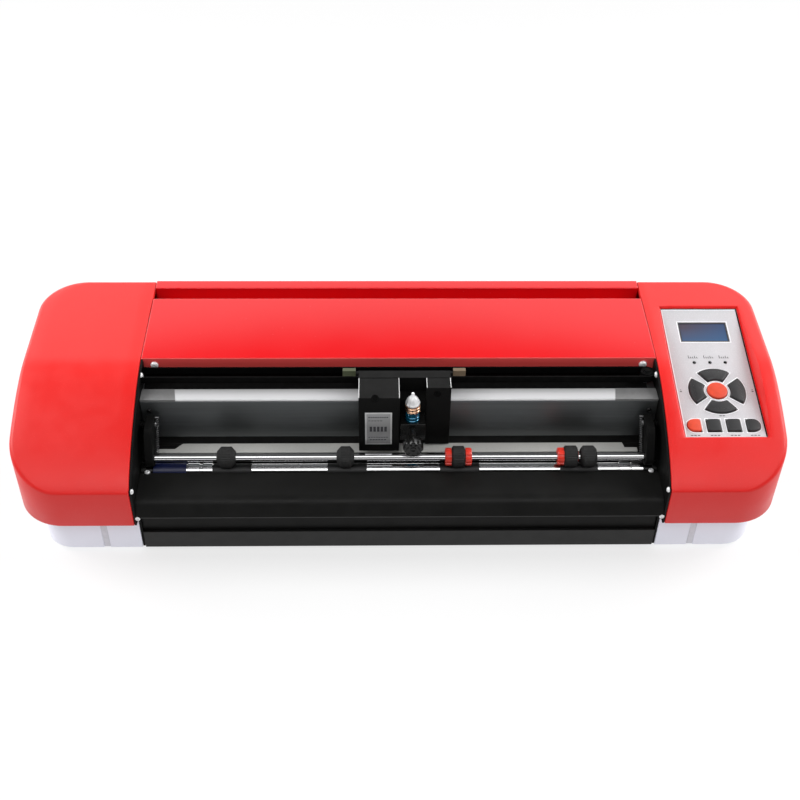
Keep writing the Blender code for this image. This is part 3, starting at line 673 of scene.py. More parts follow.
def cap_top(bm, flip, rows, has_panel, wall, drop):
    """A skin's top, with a hole for the recess. Returns its grid of points and the rows at the rims."""
    grid = []
    for edge in rows:
        spot = edge.point(edge.fillet + wall)
        columns = cap_columns(spot.y, has_panel, spot.x, wall)
        line = [(flip * x, spot.y, crown_z(spot.y) - sink - drop) for x, sink in columns]
        grid.append([bm.verts.new(point) for point in line])
    inside = rim_rows(grid) if has_panel else (0, 0)
    for j in range(len(grid) - 1):
        for c in range(len(grid[0]) - 1):
            in_hole = inside[0] <= j < inside[1] and PANEL_COLUMNS[0] <= c < PANEL_COLUMNS[1]
            if not in_hole:
                bm.faces.new((grid[j][c], grid[j][c + 1], grid[j + 1][c + 1], grid[j + 1][c]))
    return grid, inside


def cap_skin(bm, flip, has_panel, wall):
    """One skin of a cap: the outer one, or with a wall thickness the inner one.
    Returns the flange's end, the inner edge from end to end, and the top's grid and rim rows."""
    rows = cap_rows(PANEL_ENDS if has_panel else ())
    drop = wall * 1.2
    grid, inside = cap_top(bm, flip, rows, has_panel, wall, drop)
    loops = [grid[0] + [line[-1] for line in grid[1:-1]] + grid[-1][::-1]]
    columns = [(abs(vert.co.x), sink_at(i, len(loops[0]))) for i, vert in enumerate(loops[0])]
    count = len(grid[0])
    places = [(rows[0], True)] * count + [(edge, False) for edge in rows[1:-1]] + [(rows[-1], True)] * count

    def add_loop(inset, height):
        loops.append(cap_loop(bm, flip, places, columns, inset, height))

    for angle in FILLET_ANGLES:
        sin, cos = math.sin(math.radians(angle)), math.cos(math.radians(angle))
        rounded = lambda e, y: crown_z(y) - e.fillet * (1 - sin) - drop
        add_loop(lambda e: wall + e.fillet * (1 - cos), rounded)
    bottom = CAP_BOTTOM_Z + wall
    turn = 0.8 if wall == 0 else 0.0
    for inset, rise in ((0.0, turn), (turn * 0.3, turn * 0.3), (turn, 0.0), (FLANGE_INSET - wall, 0.0)):
        add_loop(lambda e: wall + inset, lambda e, y: bottom + rise)
    for lower, upper in zip(loops, loops[1:]):
        bridge(bm, lower, upper)
    side = [loop[0] for loop in reversed(loops)] + [line[0] for line in grid[1:-1]]
    side += [loop[-1] for loop in loops]
    return loops[-1], side, (grid, inside)


def sink_at(index, count):
    """How far a point at either end of a loop sinks for the cap's rounded inner edge."""
    near = min(index, count - 1 - index)
    return INNER_STEPS[near][1] if near < len(INNER_STEPS) else 0.0


def cap_loop(bm, flip, places, columns, inset, height):
    """A loop down the cap's side. inset and height are functions of the place on the outline."""
    loop = []
    for (edge, at_end), (x, sink) in zip(places, columns):
        spot = edge.point(inset(edge) + sink)
        if at_end:
            spot.x = min(x, spot.x)
        loop.append(bm.verts.new((flip * spot.x, spot.y, height(edge, spot.y))))
    return loop


def rim_rows(grid):
    """The grid's rows at the front and back rims of the recess."""
    depths = [line[0].co.y for line in grid]
    return [min(range(len(depths)), key=lambda j: abs(depths[j] - end)) for end in PANEL_ENDS]


def recess(bm, grid, inside, wall):
    """The tub round the panel, from the rim of the cap's top down to the pocket that the panel lies in."""
    (j0, j1), (c0, c1) = inside, PANEL_COLUMNS
    rim = [(j0, c) for c in range(c0, c1)] + [(j, c1) for j in range(j0, j1)]
    rim += [(j1, c) for c in range(c1, c0, -1)] + [(j, c0) for j in range(j1, j0, -1)]
    rounding = ((0.35, 0.12), (0.0, RIM)) if wall == 0 else ()
    outlines = [[rim_point(grid, inside, j, c, *step) for j, c in rim] for step in rounding]
    floor = RECESS_FLOOR - wall
    for in_pocket, level in ((False, floor), (True, floor), (True, POCKET_FLOOR - wall)):
        outlines.append([floor_point(grid, inside, j, c, in_pocket, level, wall) for j, c in rim])
    loops = [[grid[j][c] for j, c in rim]]
    loops += [[bm.verts.new(point) for point in outline] for outline in outlines]
    for lower, upper in zip(loops, loops[1:]):
        close_rings(bm, lower, upper)
    bm.faces.new(loops[-1])


def rim_point(grid, inside, j, c, spread, sink):
    """A point of the rounded rim: moved in towards the recess, and down."""
    point = grid[j][c].co.copy()
    step = RIM * (1 - spread)
    c0, c1 = PANEL_COLUMNS
    if c == c0:
        point.x += step
    if c == c1:
        point.x -= step
    if j == inside[0]:
        point.y += step
    if j == inside[1]:
        point.y -= step
    point.z = min(crown_z(point.y), point.z) - sink
    return point


def floor_point(grid, inside, j, c, in_pocket, level, wall):
    """A point at the foot of the recess's walls, or of the panel's pocket, below rim point (j, c)."""
    (j0, j1), (c0, c1) = inside, PANEL_COLUMNS
    x, v, grow = (PANEL_X, (0.0, PANEL_LENGTH), wall + 0.3) if in_pocket else (RECESS_X, RECESS_V, wall)
    left, right, front, back = x[0] - grow, x[1] + grow, v[0] - grow, v[1] + grow
    first, last = grid[j0][c].co.y, grid[j1][c].co.y
    share = (grid[j][c].co.y - first) / (last - first)
    return panel_point(left + (right - left) * (c - c0) / (c1 - c0), front + (back - front) * share, level)


def end_cap(side):
    """A cap as a closed shell: two skins joined along the flange and the inner edge."""
    bm = bmesh.new()
    has_panel = side > 0
    outer_end, outer_side, outer_top = cap_skin(bm, side, has_panel, 0.0)
    inner_end, inner_side, inner_top = cap_skin(bm, side, has_panel, CAP_WALL)
    bridge(bm, outer_end, inner_end)
    bridge(bm, outer_side, inner_side)
    if has_panel:
        recess(bm, *outer_top, 0.0)
        recess(bm, *inner_top, CAP_WALL)
    name = "right" if side > 0 else "left"
    make(f"{name}_cap", bm, "cap", replaced=[f"{name}_upper_cover"], sharp=40)


# ---- screws ----
def screw(centre, normal, radius, height):
    """A button-head screw with a hexagon socket, standing on centre and pointing along normal."""
    head = [(0, -0.3), (radius, -0.3), (radius, height * 0.2), (radius * 0.95, height * 0.45)]
    head += [(radius * 0.83, height * 0.73), (radius * 0.65, height * 0.92), (radius * 0.48, height)]
    head += [(radius * 0.44, height * 0.92), (radius * 0.38, height * 0.4), (0, height * 0.35)]
    turn = Vector((0, 0, 1)).rotation_difference(Vector(normal)).to_matrix().to_4x4()
    return placed(turned(head, "z", (0, 0), 30), centre, turn)


def screws():
    lip_y = box_mm("top_cover")[0].y
    heads = [screw((x, lip_y, 112.9), (0, -1, 0), 3.2, 2.3) for x in (-195.0, 195.0)]
    heads += [screw((x, DEPTH - 0.6, 104.0), (0, 1, 0), 2.8, 0.6) for x in (-160.0, 0.0, 160.0)]
    make("cover_screws", heads, "screw")
    plate_x = box_mm("right_side_plate")[0].x
    beam_y = box_mm("carriage_beam")[0].y
    on_plates = []
    on_beam = []
    for side in (-1, 1):
        for y, z, radius in ((90.5, 113.9, 2.4), (2.9, 73.4, 2.1)):
            on_plates.append(screw((side * plate_x, y, z), (-side, 0, 0), radius, 1.5))
        on_plates.append(screw((side * 202.0, 0.6, 46.0), (0, -1, 0), 2.0, 0.55))
        on_plates.append(screw((side * 198.0, 37.0, 60.0), (0, 0, 1), 2.2, 1.3))
        on_plates += [screw((side * 196.0, 191.0, z), (0, 1, 0), 2.6, 1.5) for z in (12.0, 30.0)]
        on_beam += [screw((side * 197.0, beam_y, z), (0, -1, 0), 2.0, 1.3) for z in (75.0, 94.0)]
    make("plate_screws", on_plates, "screw")
    make("frame_bolts", on_beam, "gloss")
    floor_z = box_mm("base_pan")[0].z
    spots = [(x, y, floor_z) for x in (-185.0, -60.0, 60.0, 185.0) for y in (40.0, 160.0)]
    make("underside_screws", [screw(spot, (0, 0, -1), 2.6, 1.4) for spot in spots], "screw")


# ---- feed ----
GRIT_X = ((-147.6, -117.0), (-57.2, -26.3), (31.3, 62.6), (126.3, 156.5))
COLLAR_X = ((-167.2, -157.3), (-155.3, -147.3), (173.0, 181.8), (182.8, 192.6))
BUSH_X = ((-198.8, -194.3), (193.2, 198.8))


def knurled(angle, t):
    return 1.0 + 0.012 * math.cos(48 * angle + 6.0 * t)


def shaft_rings():
    """Knurled and plain silver sections of the drive shaft, and dark bushes on its journals."""
    seat = DRIVE_RADIUS - 0.5
    sleeves = []
    for low, high in GRIT_X:
        rings = [(DRIVE_RADIUS + 0.1, low + (high - low) * i / 20) for i in range(21)]
        profile = [(seat, low + 0.2), *rings, (seat, high - 0.2)]
        sleeves.append(turned(profile, "x", DRIVE_AXIS, 144, knurled))
    make("grit_sleeves", sleeves, "grit", "drive", sharp=60)
    collars = [turned(tube_profile(seat, DRIVE_RADIUS + 0.7, *ends), "x", DRIVE_AXIS) for ends in COLLAR_X]
    make("shaft_collars", collars, "shaft", "drive")
    bushes = [turned(tube_profile(3.2, 5.3, *ends, 0.3), "x", DRIVE_AXIS, 48) for ends in BUSH_X]
    make("journal_bushes", bushes, "gloss", "drive")


def rail_dressing():
    """Grey pads on the guide rail's ends, and a dark sheet along the ledge behind it that stands in for the
    shade there.
    """
    low, high = box_mm("guide_rail")
    end, front, back = 203.0, low.y - 0.15, high.y - 0.1
    pads = []
    for side, start in ((-1, 175.5), (1, 169.0)):
        outline = [(end, front), (start, front), (start + 2.0, back), (end, back)]
        pads.append(along_z([(side * x, y) for x, y in outline], high.z - 1.75, high.z + 0.25))
    make("rail_end_pads", pads, "rail_end", edge=0.12)
    # A near-black sheet on the ledge under the top cover: painted shade.
    ledge_y = (high.y + 0.3, box_mm("carriage_beam")[1].y - 0.2)
    shade_sheet = box((-202.0, 197.0), ledge_y, (low.z - 0.35, low.z + 0.1))
    make("ledge_shade_sheet", shade_sheet, "inside", edge=0.12)


def fillers():
    """Dark pieces that close gaps: a cable tray behind the beam, a strip in the pan's lip, and the cap
    of the idler's post."""
    front = box_mm("carriage_beam")[1].y + 3.9
    back = front + 12.1
    fold = back - 1.2
    tray = [(front, 97.6), (back, 97.6), (back, 101.6), (fold, 101.6), (fold, 98.8), (front, 98.8)]
    make("cable_tray", along_x(tray, -SPAN_X, SPAN_X), "inside", edge=0.2)
    strip = box((-SPAN_X, SPAN_X), (14.55, 16.15), (14.5, 17.3))
    make("lip_filler", strip, "bed", edge=0.15)
    low, high = box_mm("idler_pulley")
    cap = [(0, 0.3), (2.0, 0.3), (2.3, 0.5), (2.3, 0.9), (2.0, 1.1), (0, 1.15)]
    cap = [(radius, high.z + rise) for radius, rise in cap]
    post = turned(cap, "z", ((low.x + high.x) / 2, (low.y + high.y) / 2), 32)
    make("idler_post_cap", post, "inside")


def tray_groove_shades():
    """A darker band down the front of each grey tray, in its groove: painted shade of the groove."""
    face = box_mm("left_lower_cover")[0].y
    spans = ((-235.85, -231.15), (231.15, 235.85))
    groove_shades = [box(x, (face + 0.25, face + 0.65), (0.9, CAP_BOTTOM_Z - 0.7)) for x in spans]
    make("tray_groove_shades", groove_shades, "groove_shade", edge=0.1)


def bezel(x, z, width, y):
    """Four bars round an opening in a rear wall."""
    (x0, x1), (z0, z1) = x, z
    wide = (x0 - width, x1 + width)
    bars = [box(wide, y, (z1, z1 + width)), box(wide, y, (z0 - width, z0))]
    return bars + [box((x0 - width, x0), y, z), box((x1, x1 + width), y, z)]


INLET_AXIS = (234.0, 27.0)
SOCKET_Z = (20.75, 33.2)


def rear_sockets():
    """Faces of the low-voltage inlet and the data socket, the rocker's bezel, and the left tray's vents."""
    wall = box_mm("right_lower_cover")[1].y
    front, lip = 171.8, wall - 0.6
    shell = box((228.85, 239.15), (front, wall - 0.2), SOCKET_Z)
    make("inlet_shell", shell, "key_black", edge=0.3)
    shell = box((244.85, 257.15), (front, wall - 0.3), SOCKET_Z)
    make("data_socket_body", shell, "inside", edge=0.3)
    tongue = box((248.2, 253.8), (lip, wall - 0.1), (25.2, 28.8))
    make("data_socket_tongue", tongue, "outline", edge=0.2)
    ring = [(2.9, -0.3), (4.3, -0.3), (4.3, 0.4), (4.0, 0.7), (3.1, 0.7), (2.9, 0.4)]
    pin = [(0, -0.3), (0.8, -0.3), (0.8, 0.2), (0.5, 0.5), (0, 0.6)]
    for name, profile, sides, look, slot in (
        ("inlet_ring", ring, 48, "key_black", "key_black"),
        ("inlet_pin", pin, 24, "screw", "steel"),
    ):
        profile = [(radius, wall + rise) for radius, rise in profile]
        make(name, turned(profile, "y", INLET_AXIS, sides), look)
    rim = bezel((245.6, 256.4), (21.5, 32.4), 0.7, (lip, wall))
    make("data_socket_rim", rim, "screw")
    rim = bezel((211.2, 224.8), (9.2, 30.8), 1.3, (wall - 0.1, wall + 0.7))
    make("rocker_bezel", rim, "key_black", edge=0.15)
    slots = [box((x, x + 2.2), (wall - 0.1, wall + 0.06), (14.0, 34.0)) for x in range(-262, -217, 5)]
    make("rear_vents", slots, "inside")


def rating_plate():
    """A blank plate on the pan's back, with plain strokes in place of words."""
    back = box_mm("base_pan")[1].y
    plate = box((-26.0, 26.0), (back - 0.1, back + 0.2), (12.0, 32.0))
    make("rating_plate", plate, "label", edge=0.1)
    lines = []
    for i, z in enumerate((28.0, 24.8, 21.6, 18.4, 15.2)):
        lines.append(box((-22.0, 22.0 - 6.0 * (i % 3)), (back + 0.15, back + 0.26), (z, z + 0.8)))
    make("rating_lines", lines, "ink")


def ribbed(angle, t):
    return 1.0 + 0.016 * math.cos(40 * angle)


def wheel_profile(low, high, bore, radius, chamfer):
    """A tyre's section, with a groove at each shoulder."""
    inner = radius - chamfer

    def shoulder(end, inward):
        groove = [(inner - 1.2, end), (inner - 0.9, end + 0.5 * inward), (inner, end + 0.3 * inward)]
        return [(bore, end), *groove, (radius, end + chamfer * inward)]

    return shoulder(low, 1) + shoulder(high, -1)[::-1]


def pinch_wheels():
    """Five ribbed tyres, of which the third and the fourth sit on red hubs."""
    for number, chamfer in enumerate((3.5, 3.5, 1.3, 1.3, 2.6), 1):
        body = f"pinch_wheel_{number}"
        on_hub = number in (3, 4)
        name, node, bore = f"wheel_{number}", body, 3.6
        if on_hub:
            name, node, bore = f"tyre_{number}", f"pinch_tyre_{number}", 5.9
        low, high = box_mm(node)
        profile = wheel_profile(low.x, high.x, bore, WHEEL_RADIUS, chamfer)
        tyre = turned(profile, "x", PINCH_AXIS, 160, ribbed)
        make(name, tyre, "rubber", body, replaced=[node], sharp=30)
        if on_hub:
            hub_node = f"pinch_hub_{number}"
            start, end = box_mm(hub_node)
            hub = hub_mesh(start.x, end.x, low.x - 0.3, high.x + 0.3, number == 3)
            make(f"hub_{number}", hub, "hub", body, replaced=[hub_node])


def hub_mesh(low, high, first, last, second_flange):
    """A red hub: a rounded flange on one side or both of the seat for the tyre, from first to last."""
    flange, core, bore = 7.15, 5.8, 3.6

    def rounded(start, end):
        inward = math.copysign(1, end - start)
        shoulder = [(flange - 1.6, start), (flange - 0.5, start + 0.25 * inward)]
        return shoulder + [(flange, start + inward), (flange, end)]

    def notched(angle, t):
        return 1.0 - (0.11 if math.cos(8 * angle) > 0.4 and not first < t < last else 0.0)

    profile = [(bore, low), *rounded(low, first), (core, first)]
    if second_flange:
        profile += [(core, last), *reversed(rounded(high, last)), (bore, high)]
    else:
        profile += [(core, high - 0.4), (core - 0.4, high), (bore, high)]
    return turned(profile, "x", PINCH_AXIS, 96, notched)


def arm_springs():
    """The pinch arms' coil springs, on the arms' inner sides, and the pins that hold them."""
    turns, steps, coil = 17, 17 * 14, 1.25
    foot, top = Vector((0, 48.0, 67.5)), Vector((0, 66.0, 90.0))
    along = (top - foot).normalized()
    across = Vector((0, along.z, -along.y))
    coils = []
    pins = []
    for side in (-1, 1):
        path = []
        for i in range(steps + 1):
            angle = 2 * math.pi * turns * i / steps
            spot = foot.lerp(top, i / steps) + across * coil * math.sin(angle)
            path.append((side * 190.6 + coil * math.cos(angle), spot.y, spot.z))
        coils.append(swept(path, 0.28))
        ends = sorted((side * 189.2, side * 192.6))
        for spot in (foot - along * 1.2, top + along * 1.2):
            pin = [(0, ends[0]), (1.1, ends[0]), (1.1, ends[1]), (0, ends[1])]
            pins.append(turned(pin, "x", (spot.y, spot.z), 20))
        pins.append(screw((side * 192.0, 63.5, 87.0), (-side, 0, 0), 2.3, 1.2))
    make("arm_springs", coils, "spring", "pinch_frame", sharp=60)
    make("arm_pins", pins, "spring", "pinch_frame", 0.2)


# ---- carriage ----
LABEL_X = (-27.6, -6.6)
LABEL_Z = (73.2, 106.6)
LABEL_ROWS = (  # height, how tall, both ends from the label's left edge, how many strokes
    (102.0, 0.9, 2.6, 18.4, 9),
    (98.4, 0.5, 2.6, 14.0, 5),
    (81.0, 0.6, 2.6, 18.4, 8),
    (78.4, 0.9, 3.6, 17.0, 6),
)


def carriage_label():
    """The left cover's label: a bright border, a plain plate, and strokes and bars in place of its text."""
    face = box_mm("carriage_left_cover")[0].y
    border = along_y(rectangle(LABEL_X, LABEL_Z), face - 0.35, face + 0.3)
    make("label_border", border, "label_edge_and_highlight", "carriage", 0.15)
    inner = [(low + 1.2, high - 1.2) for low, high in (LABEL_X, LABEL_Z)]
    make("label_plate", along_y(rectangle(*inner), face - 0.42, face - 0.1), "label", "carriage")
    marks = []
    for z, tall, start, end, count in LABEL_ROWS:
        step = (end - start) / count
        for i in range(count):
            x = LABEL_X[0] + start + step * i
            marks.append(((x, x + step * 0.75), (z - tall / 2, z + tall / 2)))
    for i in range(5):
        x = LABEL_X[0] + 3.6 + 2.85 * i
        marks.append(((x, x + 2.0), (87.0, 92.2)))
    strokes = [along_y(rectangle(*sides), face - 0.5, face - 0.4) for sides in marks]
    make("label_strokes", strokes, "ink", "carriage")


def carriage_edge_highlights():
    """Eyelets in the carriage's covers, painted highlight lines along their top edges, and pads on the
    carriage's ears.
    """
    left, right = box_mm("carriage_left_cover"), box_mm("carriage_right_cover")
    ring = [(0, -0.5), (3.0, -0.5), (3.1, 0.2), (2.8, 0.45), (2.3, 0.45), (1.9, 0.1), (0, 0.05)]
    eyelets = []
    for x, y, z, tilt in ((-19.8, left[0].y, left[1].z, 45.0), (28.6, right[0].y, left[1].z - 6.0, 90.0)):
        turn = Matrix.Rotation(math.radians(tilt), 4, "X")
        eyelets.append(placed(turned(ring, "z", (0, 0), 32), (x, y, z), turn))
    make("carriage_eyelets", eyelets, "inside", "carriage")
    # Bright strips along the covers' top edges: painted highlights.
    edge_highlights = []
    for low, high in (left, right):
        for x in (low.x + 0.05, high.x - 0.6):
            edge_highlights.append(box((x, x + 0.55), (low.y + 0.6, high.y - 0.1), (high.z - 0.1, high.z + 0.12)))
    make("carriage_edge_highlights", edge_highlights, "label_edge_and_highlight", "carriage")
    low, high = box_mm("carriage_plate")
    for name, x, look, slot in (
        ("left_tab_pad", (low.x - 0.15, -34.8), "tab_green", "black_plastic"),
        ("right_tab_pad", (41.4, high.x + 0.15), "tab_bronze", "steel"),
    ):
        make(name, box(x, (83.9, 87.6), (high.z - 5.2, high.z + 0.15)), look, "carriage", 0.12)


def fluted(angle, t):
    """The blade cap's flutes, deepest at mid height."""
    depth = 0.12 * max(0.0, 1.0 - abs(t - 113.6) / 3.4)
    return 1.0 - depth * (0.5 - 0.5 * math.cos(10 * angle))


def blade_tool():
    cap = [(0, 109.1), (4.4, 109.1), (4.9, 109.4), (4.9, 109.7), (5.5, 110.1), (5.75, 110.8), (5.75, 111.8)]
    cap += [(5.5, 112.8), (4.9, 114.0), (4.0, 115.3), (2.9, 116.6), (1.9, 117.6), (1.45, 118.2)]
    cap += [(1.3, 118.8), (1.3, 120.3), (1.0, 120.8), (0, 121.0)]
    whole = turned(cap, "z", TOOL_XY, 120, fluted)
    make("fluted_cap", whole, "tip", "blade_cap", replaced=["blade_cap"])
    body = [(0, 64.0), (0.5, 64.0), (0.9, 66.0), (1.6, 66.2), (3.4, 69.4), (5.2, 72.0), (5.5, 72.8)]
    body += [(5.5, 95.8), (5.1, 96.2), (5.1, 96.8), (5.5, 97.2), (5.5, 98.8), (5.1, 99.2), (5.1, 99.8)]
    body += [(5.5, 100.2), (5.5, 103.0), (5.2, 103.4), (0, 103.4)]
    whole = turned(body, "z", TOOL_XY, 64)
    make("holder_body", whole, "holder", "tool", replaced=["blade_holder"])
    ring = [(0, 103.5), (5.5, 103.5), (5.9, 103.9), (5.9, 105.2), (5.5, 105.6), (5.5, 106.0), (5.9, 106.4)]
    ring += [(5.9, 108.2), (5.5, 108.6), (0, 108.6)]
    make("holder_ring", turned(ring, "z", TOOL_XY, 64), "brass", "tool")


def lobed(angle, t):
    """The clamp knob's eight lobes, along its rim only."""
    return 1.0 - (0.05 * (1.0 - math.cos(8 * angle)) if 30.3 < t < 38.9 else 0.0)


def clamp_knob():
    low, high = box_mm("clamp_knob")
    profile = [(0, 31.4), (1.6, 31.3), (2.6, 30.6), (4.6, 30.6), (5.2, 30.0), (6.6, 30.0), (7.4, 30.4)]
    profile += [(7.85, 31.2), (7.85, 37.6), (7.4, 38.5), (6.6, 38.95), (3.4, 39.1), (2.5, 39.6)]
    profile += [(2.5, 53.0), (0, 53.0)]
    knob = turned(profile, "y", (TOOL_XY[0], (low.z + high.z) / 2), 120, lobed)
    make("lobed_knob", knob, "gloss", "clamp_knob", replaced=["clamp_knob"])


# ---- control panel ----
def sector(middle, grow):
    inner, outer = PAD_RADII[0] - grow, PAD_RADII[1] + grow
    wide = PAD_HALF_ANGLE + math.degrees(grow / outer)
    narrow = PAD_HALF_ANGLE - 2.5 + math.degrees(grow / inner)
    far = arc(PAD_CENTRE, outer, middle - wide, middle + wide, 14)
    return far + arc(PAD_CENTRE, inner, middle + narrow, middle - narrow, 8)


def row_key(index, grow):
    x0, x1 = ROW_X[index][0] - grow, ROW_X[index][1] + grow
    v0, v1 = ROW_V[0] - grow, ROW_V[1] + grow
    radius = (v1 - v0) / 2
    middle = (v0 + v1) / 2
    if index == 0:
        return [(x1, v0), (x1, v1), *arc((x0 + radius, middle), radius, 90, 270, 14)]
    if index == 3:
        return [(x0, v1), (x0, v0), *arc((x1 - radius, middle), radius, -90, 90, 14)]
    return [(x0, v0), (x1, v0), (x1, v1), (x0, v1)]


def outlines(grow):
    shapes = [sector(angle, grow) for angle in (90, 180, 270, 0)]
    shapes.append(arc(PAD_CENTRE, ENTER_RADIUS + grow, 0, 345, 23))
    shapes += [row_key(index, grow) for index in range(4)]
    shapes.append(rectangle((LCD_X[0] - grow, LCD_X[1] + grow), (LCD_V[0] - grow, LCD_V[1] + grow)))
    return shapes


KEY_PROFILE = ((-0.9, 0.0), (0.8, 0.0), (1.25, 0.1), (1.55, 0.32), (1.72, 0.65), (1.8, 1.1))


def soften_corners(outline, radius):
    """Replaces an outline's sharp corners with small arcs."""
    points = [Vector(p) for p in outline]
    smooth = []
    for i, corner in enumerate(points):
        back = (points[i - 1] - corner).normalized()
        ahead = (points[(i + 1) % len(points)] - corner).normalized()
        turn = math.pi - back.angle(ahead)
        if turn < math.radians(35):
            smooth.append(corner)
            continue
        reach = radius * math.tan(turn / 2)
        start, end = corner + back * reach, corner + ahead * reach
        for k in range(6):
            t = k / 5
            smooth.append(start * (1 - t) ** 2 + corner * 2 * t * (1 - t) + end * t * t)
    return smooth


def inset(points, distance):
    """The outline moved inwards, whichever way round it runs."""
    area = sum(a.x * b.y - b.x * a.y for a, b in zip(points, points[1:] + points[:1]))
    sign = math.copysign(1.0, area)
    moved = []
    for i, point in enumerate(points):
        along = (points[(i + 1) % len(points)] - points[i - 1]).normalized()
        moved.append(point + Vector((-along.y, along.x)) * sign * distance)
    return moved


KEY_NAMES = ("key_up", "key_left", "key_down", "key_right", "key_enter")
KEY_NAMES += ("key_red", "key_a", "key_b", "key_c")


def keys():
    """Each key with rounded corners, a soft shoulder and a flat top."""
    for name, outline in zip(KEY_NAMES, outlines(0.0)):
        if name == "key_enter":
            outline = arc(PAD_CENTRE, ENTER_RADIUS, 0, 354, 59)
        smooth = soften_corners(outline, 1.7 if name in KEY_NAMES[:4] else 2.4)
        rings = [[panel_point(p.x, p.y, w) for p in inset(smooth, distance)] for w, distance in KEY_PROFILE]
        look = "key_red" if name in ("key_enter", "key_red") else "key_black"
        make(f"{name}_cap", loft(rings), look, name, replaced=[name], sharp=50)


def band(inner, outer, low, high):
    """A flat band between two matching outlines on the panel."""
    bm = bmesh.new()
    rings = []
    for outline, w in ((inner, low), (outer, low), (outer, high), (inner, high)):
        rings.append([bm.verts.new(panel_point(a, b, w)) for a, b in outline])
    for k in range(4):
        close_rings(bm, rings[k - 1], rings[k])
    return bm


def printed(x, v, high=0.06):
    """A flat rectangle on the panel."""
    return on_panel(rectangle(x, v), -0.1, high)


def display():
    """The rubber mat under the keys, and the display's pane in its dark frame."""
    margin = 0.6
    mat = rectangle((PANEL_X[0] + margin, PANEL_X[1] - margin), (margin, PANEL_LENGTH - margin))
    make("key_mat", on_panel(mat, -2.5, -2.1), "mat", edge=0.1)
    pane = on_panel(rectangle(LCD_X, LCD_V), -1.9, -0.7)
    make("lcd_pane", pane, "lcd", edge=0.15, replaced=["lcd_window"])
    ring = [rectangle((LCD_X[0] + d, LCD_X[1] - d), (LCD_V[0] + d, LCD_V[1] - d)) for d in (0.9, 0.05)]
    make("lcd_frame", band(*ring, -0.7, -0.25), "ink")


def panel_lines():
    """Pale outlines round the keys and the display, a painted shadow line along the panel's top and right
    edges, and a painted highlight line along its left edge and just inside its top.
    """
    bands = [band(a, b, -0.1, 0.06) for a, b in zip(outlines(KEY_GAP + 0.25), outlines(KEY_GAP + 0.8))]
    make("panel_outlines", bands, "outline")
    left, right, top = *PANEL_X, PANEL_LENGTH
    # Painted shadow: dark lines in the gap along the panel's top and right edges.
    shadow_top = printed((left + 0.1, right - 0.1), (top - 1.0, top - 0.1), 0.05)
    shadow_right = printed((right - 1.1, right - 0.1), (0.3, top - 1.05), 0.05)
    make("panel_edge_shadow", [shadow_top, shadow_right], "inside")
    # Painted highlight: pale lines along the panel's left edge and just inside its top edge.
    highlight_left = printed((left + 0.1, left + 0.8), (0.3, top - 1.1), 0.05)
    highlight_top = printed((left + 0.85, right - 1.2), (top - 1.7, top - 1.1), 0.05)
    make("panel_edge_highlight", [highlight_left, highlight_top], "outline")


def panel_marks():
    """Strokes in place of the words beside the lamps and under the keys, and small marks at the sides."""
    marks = []
    for x in LAMP_X:
        marks += letters(x, LAMP_V + 5.4, 8.4, 5)
    for low, high in ROW_X:
        marks += dashes((low + high) / 2, 1.6, 8.0, 3)
    for x in (PANEL_X[0] + 3.2, PANEL_X[1] - 3.2):
        marks += [printed((x - 0.8, x + 0.8), (44.2, 45.0)), printed((x - 0.5, x + 0.5), (46.0, 46.6))]
    marks += dashes(PAD_CENTRE[0], PAD_CENTRE[1] - PAD_RADII[1] - 2.2, 5.0, 2)
    make("panel_marks", marks, "ink")


def panel_lamps():
    profile = [(0, -0.2), (1.5, -0.2), (1.5, 0.1), (1.2, 0.35), (1.0, 0.2), (0.6, 0.5), (0, 0.6)]
    tilt = Matrix.Rotation(PANEL_ANGLE, 4, "X")
    places = [panel_point(x, LAMP_V, 0.0) for x in LAMP_X]
    lamps = [placed(turned(profile, "z", (0, 0), 24), place, tilt) for place in places]
    make("panel_lamps", lamps, "gloss")


def letters(x, v, width, count):
    """A row of small upright strokes of varied height in place of a word."""
    step = width / count
    foot = v - 0.9
    made = []
    for i in range(count):
        left = x - width / 2 + step * i
        tall = (2.9, 1.6, 1.7, 2.4, 1.5)[i % 5]
        made.append(printed((left, left + 0.5), (foot, foot + tall)))
        made.append(printed((left, left + step * 0.7), (foot, foot + 0.45), 0.07))
    return made


def dashes(x, v, width, count):
    """A short row of plain strokes in place of a word."""
    step = width / count
    starts = [x - width / 2 + step * i for i in range(count)]
    return [printed((left, left + step * 0.72), (v - 0.35, v + 0.35)) for left in starts]


# ---- stage ----
FLOOR_GLOW = 0.72
FLOOR_TONE = 0.22
# The backdrop's brightness falls with height, which is given as the sine of the elevation.
BACKDROP = ((0.45, 0.66), (3.0, 1.3))
SKY_EDGE = (0.66, 0.70)  # where it ends
SKY_HIGH = 0.12
SKY_FRONT = 0.12
LIGHTS = (
    ("key_softbox", (0.0, -1.0, 1.45), (0, 0, 0.08), (2.0, 0.75), 13.0),
    ("left_softbox", (-1.3, 0.15, 1.15), (0, 0, 0.08), (0.8, 0.8), 18.0),
    ("right_softbox", (1.3, 0.15, 1.15), (0, 0, 0.08), (0.8, 0.8), 18.0),
)


